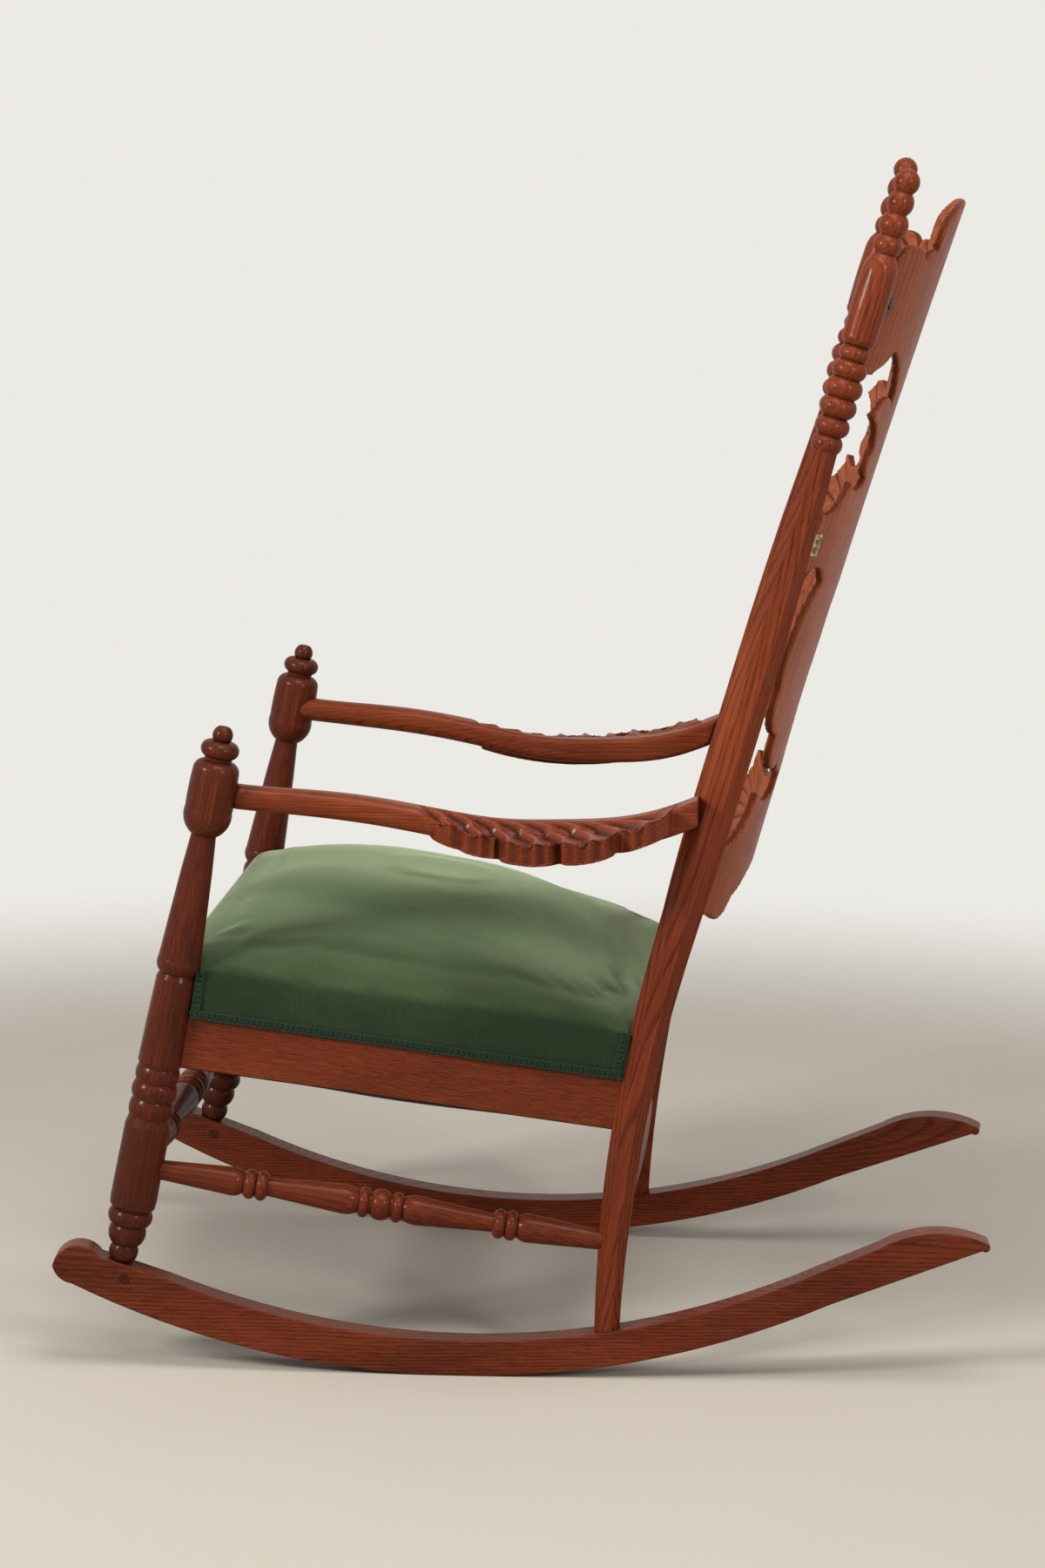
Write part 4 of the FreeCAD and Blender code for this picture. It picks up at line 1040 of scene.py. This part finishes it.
@dataclass
class Frame:
    """Wooden frame and hidden parts of the seat: the model's own pieces with their finishes."""

    def wooden(self) -> Iterable[OakFinish]:
        """Finish of each wooden piece."""
        for place, tone in (("front", 0.0), ("rear", -0.05)):
            yield OakFinish(f"seat_rail_{place}", Fibre.WIDTH, Cut.RAIL, tone)
            yield OakFinish(f"{place}_stretcher", Fibre.WIDTH, Cut.TURNED, tone - 0.05)
        for node, tone in (("corner_blocks", 0.05), ("arm_dowels", 0.1), ("rocker_pins", -0.25)):
            yield OakFinish(node, Fibre.WIDTH, Cut.TURNED, tone)
        for side in SIDES:
            yield OakFinish(f"rocker_{side}", Fibre.LENGTH, Cut.ROCKER, -0.03)
            yield OakFinish(f"front_post_{side}", Fibre.FRONT_POST, Cut.TURNED, -0.21)
            yield OakFinish(f"rear_post_{side}", Fibre.REAR_POST, Cut.FLAT, 0.05)
            yield OakFinish(f"side_stretcher_{side}", Fibre.STRETCHER, Cut.TURNED, -0.05)
            yield OakFinish(f"seat_rail_{side}", Fibre.RAIL, Cut.RAIL, 0.02)

    def metals(self) -> Iterable[tuple[str, MetalFinish]]:
        """Each metal piece with its finish."""
        bronzed = MetalFinish("bronzed_steel", (0.085, 0.048, 0.034), (0.040, 0.024, 0.018), metallic=0.5)
        yield "board_brackets_top", bronzed
        yield "board_brackets_middle", MetalFinish("bright_brass", (0.66, 0.55, 0.31), (0.26, 0.19, 0.10))
        tarnished = MetalFinish("tarnished_brass", (0.55, 0.40, 0.17), (0.22, 0.14, 0.06), worn=0.45)
        yield "board_brackets_bottom", tarnished
        yield "corner_block_screws", MetalFinish("grey_steel", (0.42, 0.40, 0.38), (0.16, 0.13, 0.11))
        yield "seat_springs", MetalFinish("spring_steel", (0.36, 0.34, 0.31), (0.17, 0.10, 0.06))

    def dress(self) -> None:
        """Finishes every piece that keeps the model's own shape."""
        for finish in self.wooden():
            self.coat(finish.node, finish.make())
        for node, finish in self.metals():
            self.coat(node, finish.make())
        jute = YarnFinish("jute_weave", (0.34, 0.24, 0.13), (0.15, 0.10, 0.05), 0.0022).make()
        for node in ("webbing_along", "webbing_across", "spring_deck"):
            self.coat(node, jute)

    def coat(self, node: str, material: bpy.types.Material) -> None:
        """Puts a material on a node of the model."""
        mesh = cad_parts[node].data
        mesh.materials.clear()
        mesh.materials.append(material)
        log.info("%s: %s", node, material.name)


# Studio


@dataclass
class Camera:
    """Camera of the photograph, in the chair's frame: degrees and millimetres of lens and sensor."""

    place: Triple = (4.3385, 0.3266, 1.2915)
    yaw: float = -4.686
    pitch: float = 9.734
    roll: float = -1.031
    lens: float = 98.72
    sensor: float = 36

    def build(self) -> None:
        """Sets the scene's camera."""
        yaw, pitch, roll = (math.radians(angle) for angle in (self.yaw, self.pitch, self.roll))
        reach = math.cos(pitch)
        forward = Vector((-math.cos(yaw) * reach, math.sin(yaw) * reach, -math.sin(pitch)))
        level = Vector((math.sin(yaw), math.cos(yaw), 0))
        down = forward.cross(level)
        right = math.cos(roll) * level + math.sin(roll) * down
        below = -math.sin(roll) * level + math.cos(roll) * down
        data = bpy.data.cameras.new("photo_camera")
        data.lens, data.sensor_width = self.lens, self.sensor
        camera = placed("photo_camera", data)
        axes = Matrix((right, -below, -forward)).transposed().to_4x4()
        camera.matrix_world = Matrix.Translation(self.place) @ axes
        bpy.context.scene.camera = camera


@dataclass(frozen=True)
class Lamp:
    """Square soft lamp: where it hangs, the point that it lights, its side, its watts and its colour."""

    name: str
    place: Triple
    target: Triple
    side: float
    power: float
    colour: Triple

    def build(self) -> None:
        """Hangs and aims the lamp."""
        data = bpy.data.lights.new(self.name, "AREA")
        data.size, data.energy, data.color = self.side, self.power, self.colour
        lamp = placed(self.name, data)
        aim = (Vector(self.target) - Vector(self.place)).to_track_quat("-Z", "Y")
        lamp.matrix_world = Matrix.Translation(self.place) @ aim.to_matrix().to_4x4()


@dataclass
class Studio:
    """Pale floor that fades into an even pale background all round, soft lamps and an even sky."""

    near: float = 1.2
    far: float = 2.3
    width: float = 90.0
    cuts: int = 8
    sky: float = 0.28
    mottle: float = 0.95
    floor_colour: Triple = (0.56, 0.515, 0.45)
    wall_colour: Triple = (0.84, 0.82, 0.78)
    lamps: tuple[Lamp, ...] = (
        Lamp("window", (2.3, -2.9, 2.2), (0, 0, 0.55), 0.8, 112, (1.0, 0.97, 0.93)),
        Lamp("ceiling", (1.0, 0.5, 3.3), (0, 0, 0.5), 1.8, 62, (1.0, 0.98, 0.95)),
        Lamp("far_side", (3.2, 2.7, 2.3), (0, 0.1, 0.6), 0.7, 50, (1.0, 0.95, 0.9)),
    )

    def build(self) -> None:
        """Makes the floor, the lamps and the world."""
        self.floor()
        for lamp in self.lamps:
            lamp.build()
        self.world()
        bpy.context.scene.view_settings.view_transform = "Standard"

    def world(self) -> None:
        """An even sky that looks like the background and lights the chair more softly."""
        world = bpy.data.worlds.new("studio_sky")
        world.use_nodes = True
        recipe = Recipe("", world.node_tree)
        even = recipe.node("ShaderNodeBackground", None, {"Color": (1.0, 0.99, 0.97), "Strength": self.sky})
        pale = recipe.node("ShaderNodeBackground", None, {"Color": self.wall_colour, "Strength": 1.0})
        mixed = recipe.node("ShaderNodeMixShader", None, {0: recipe.seen(), 1: even, 2: pale})
        recipe.node("ShaderNodeOutputWorld", None, {"Surface": mixed})
        bpy.context.scene.world = world

    def floor(self) -> None:
        """Lays a wide floor, cut into squares."""
        bpy.ops.mesh.primitive_plane_add(size=self.width)
        floor = bpy.context.object
        floor.name = "studio_floor"
        with editing(floor):
            bpy.ops.mesh.subdivide(number_cuts=self.cuts)
        floor.data.materials.append(self.paper())

    def paper(self) -> bpy.types.Material:
        """Plain paper that takes shadows near the chair and turns evenly pale further off."""
        recipe = Recipe("plain_paper")
        spot = recipe.place()
        x, y = (recipe.axis(spot, name) for name in "XY")
        tint = tuple(channel * self.mottle for channel in self.floor_colour)
        colour = recipe.mix(recipe.noise(spot, 3, 2), self.floor_colour, tint)
        values = {"Base Color": colour, "Roughness": 0.75, "Specular IOR Level": 0.25}
        paper = recipe.node("ShaderNodeBsdfPrincipled", None, values)
        glow = recipe.node("ShaderNodeEmission", None, {"Color": self.wall_colour, "Strength": 1.0})
        reach = recipe.maths("SQRT", x * x + y * y)
        fade = recipe.seen() * recipe.step(reach, self.near, self.far)
        mixed = recipe.node("ShaderNodeMixShader", None, {0: fade, 1: paper, 2: glow})
        recipe.node("ShaderNodeOutputMaterial", None, {"Surface": mixed})
        return recipe.material


def main() -> None:
    """Builds and dresses the chair, piece by piece."""
    logging.basicConfig(level=logging.INFO, format="%(message)s")
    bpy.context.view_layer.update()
    Camera().build()
    Studio().build()
    Frame().dress()
    for side in SIDES:
        arm = CarvedArm(f"arm_{side}", f"carved_arm_{side}", 0.0013, 6)
        arm.dress(arm.build(), OakFinish(arm.node, Fibre.LENGTH, Cut.ARM, 0.03, True))
    board = CarvedBoard("back_board", "carved_back_board", 0.0021, 5, BACK)
    # The board's raised tone, 0.29, is partly lighter wood and partly painted sheen of light grazing its
    # back.
    board.dress(board.build(), OakFinish(board.node, Fibre.REAR_POST, Cut.BOARD, 0.29, True, 0.02))
    for part in (Stuffing(), VelvetSeat(), GimpBraid(), DustCover(), ScrewHeads()):
        part.dress(part.build())


if __name__ == "__main__":
    main()
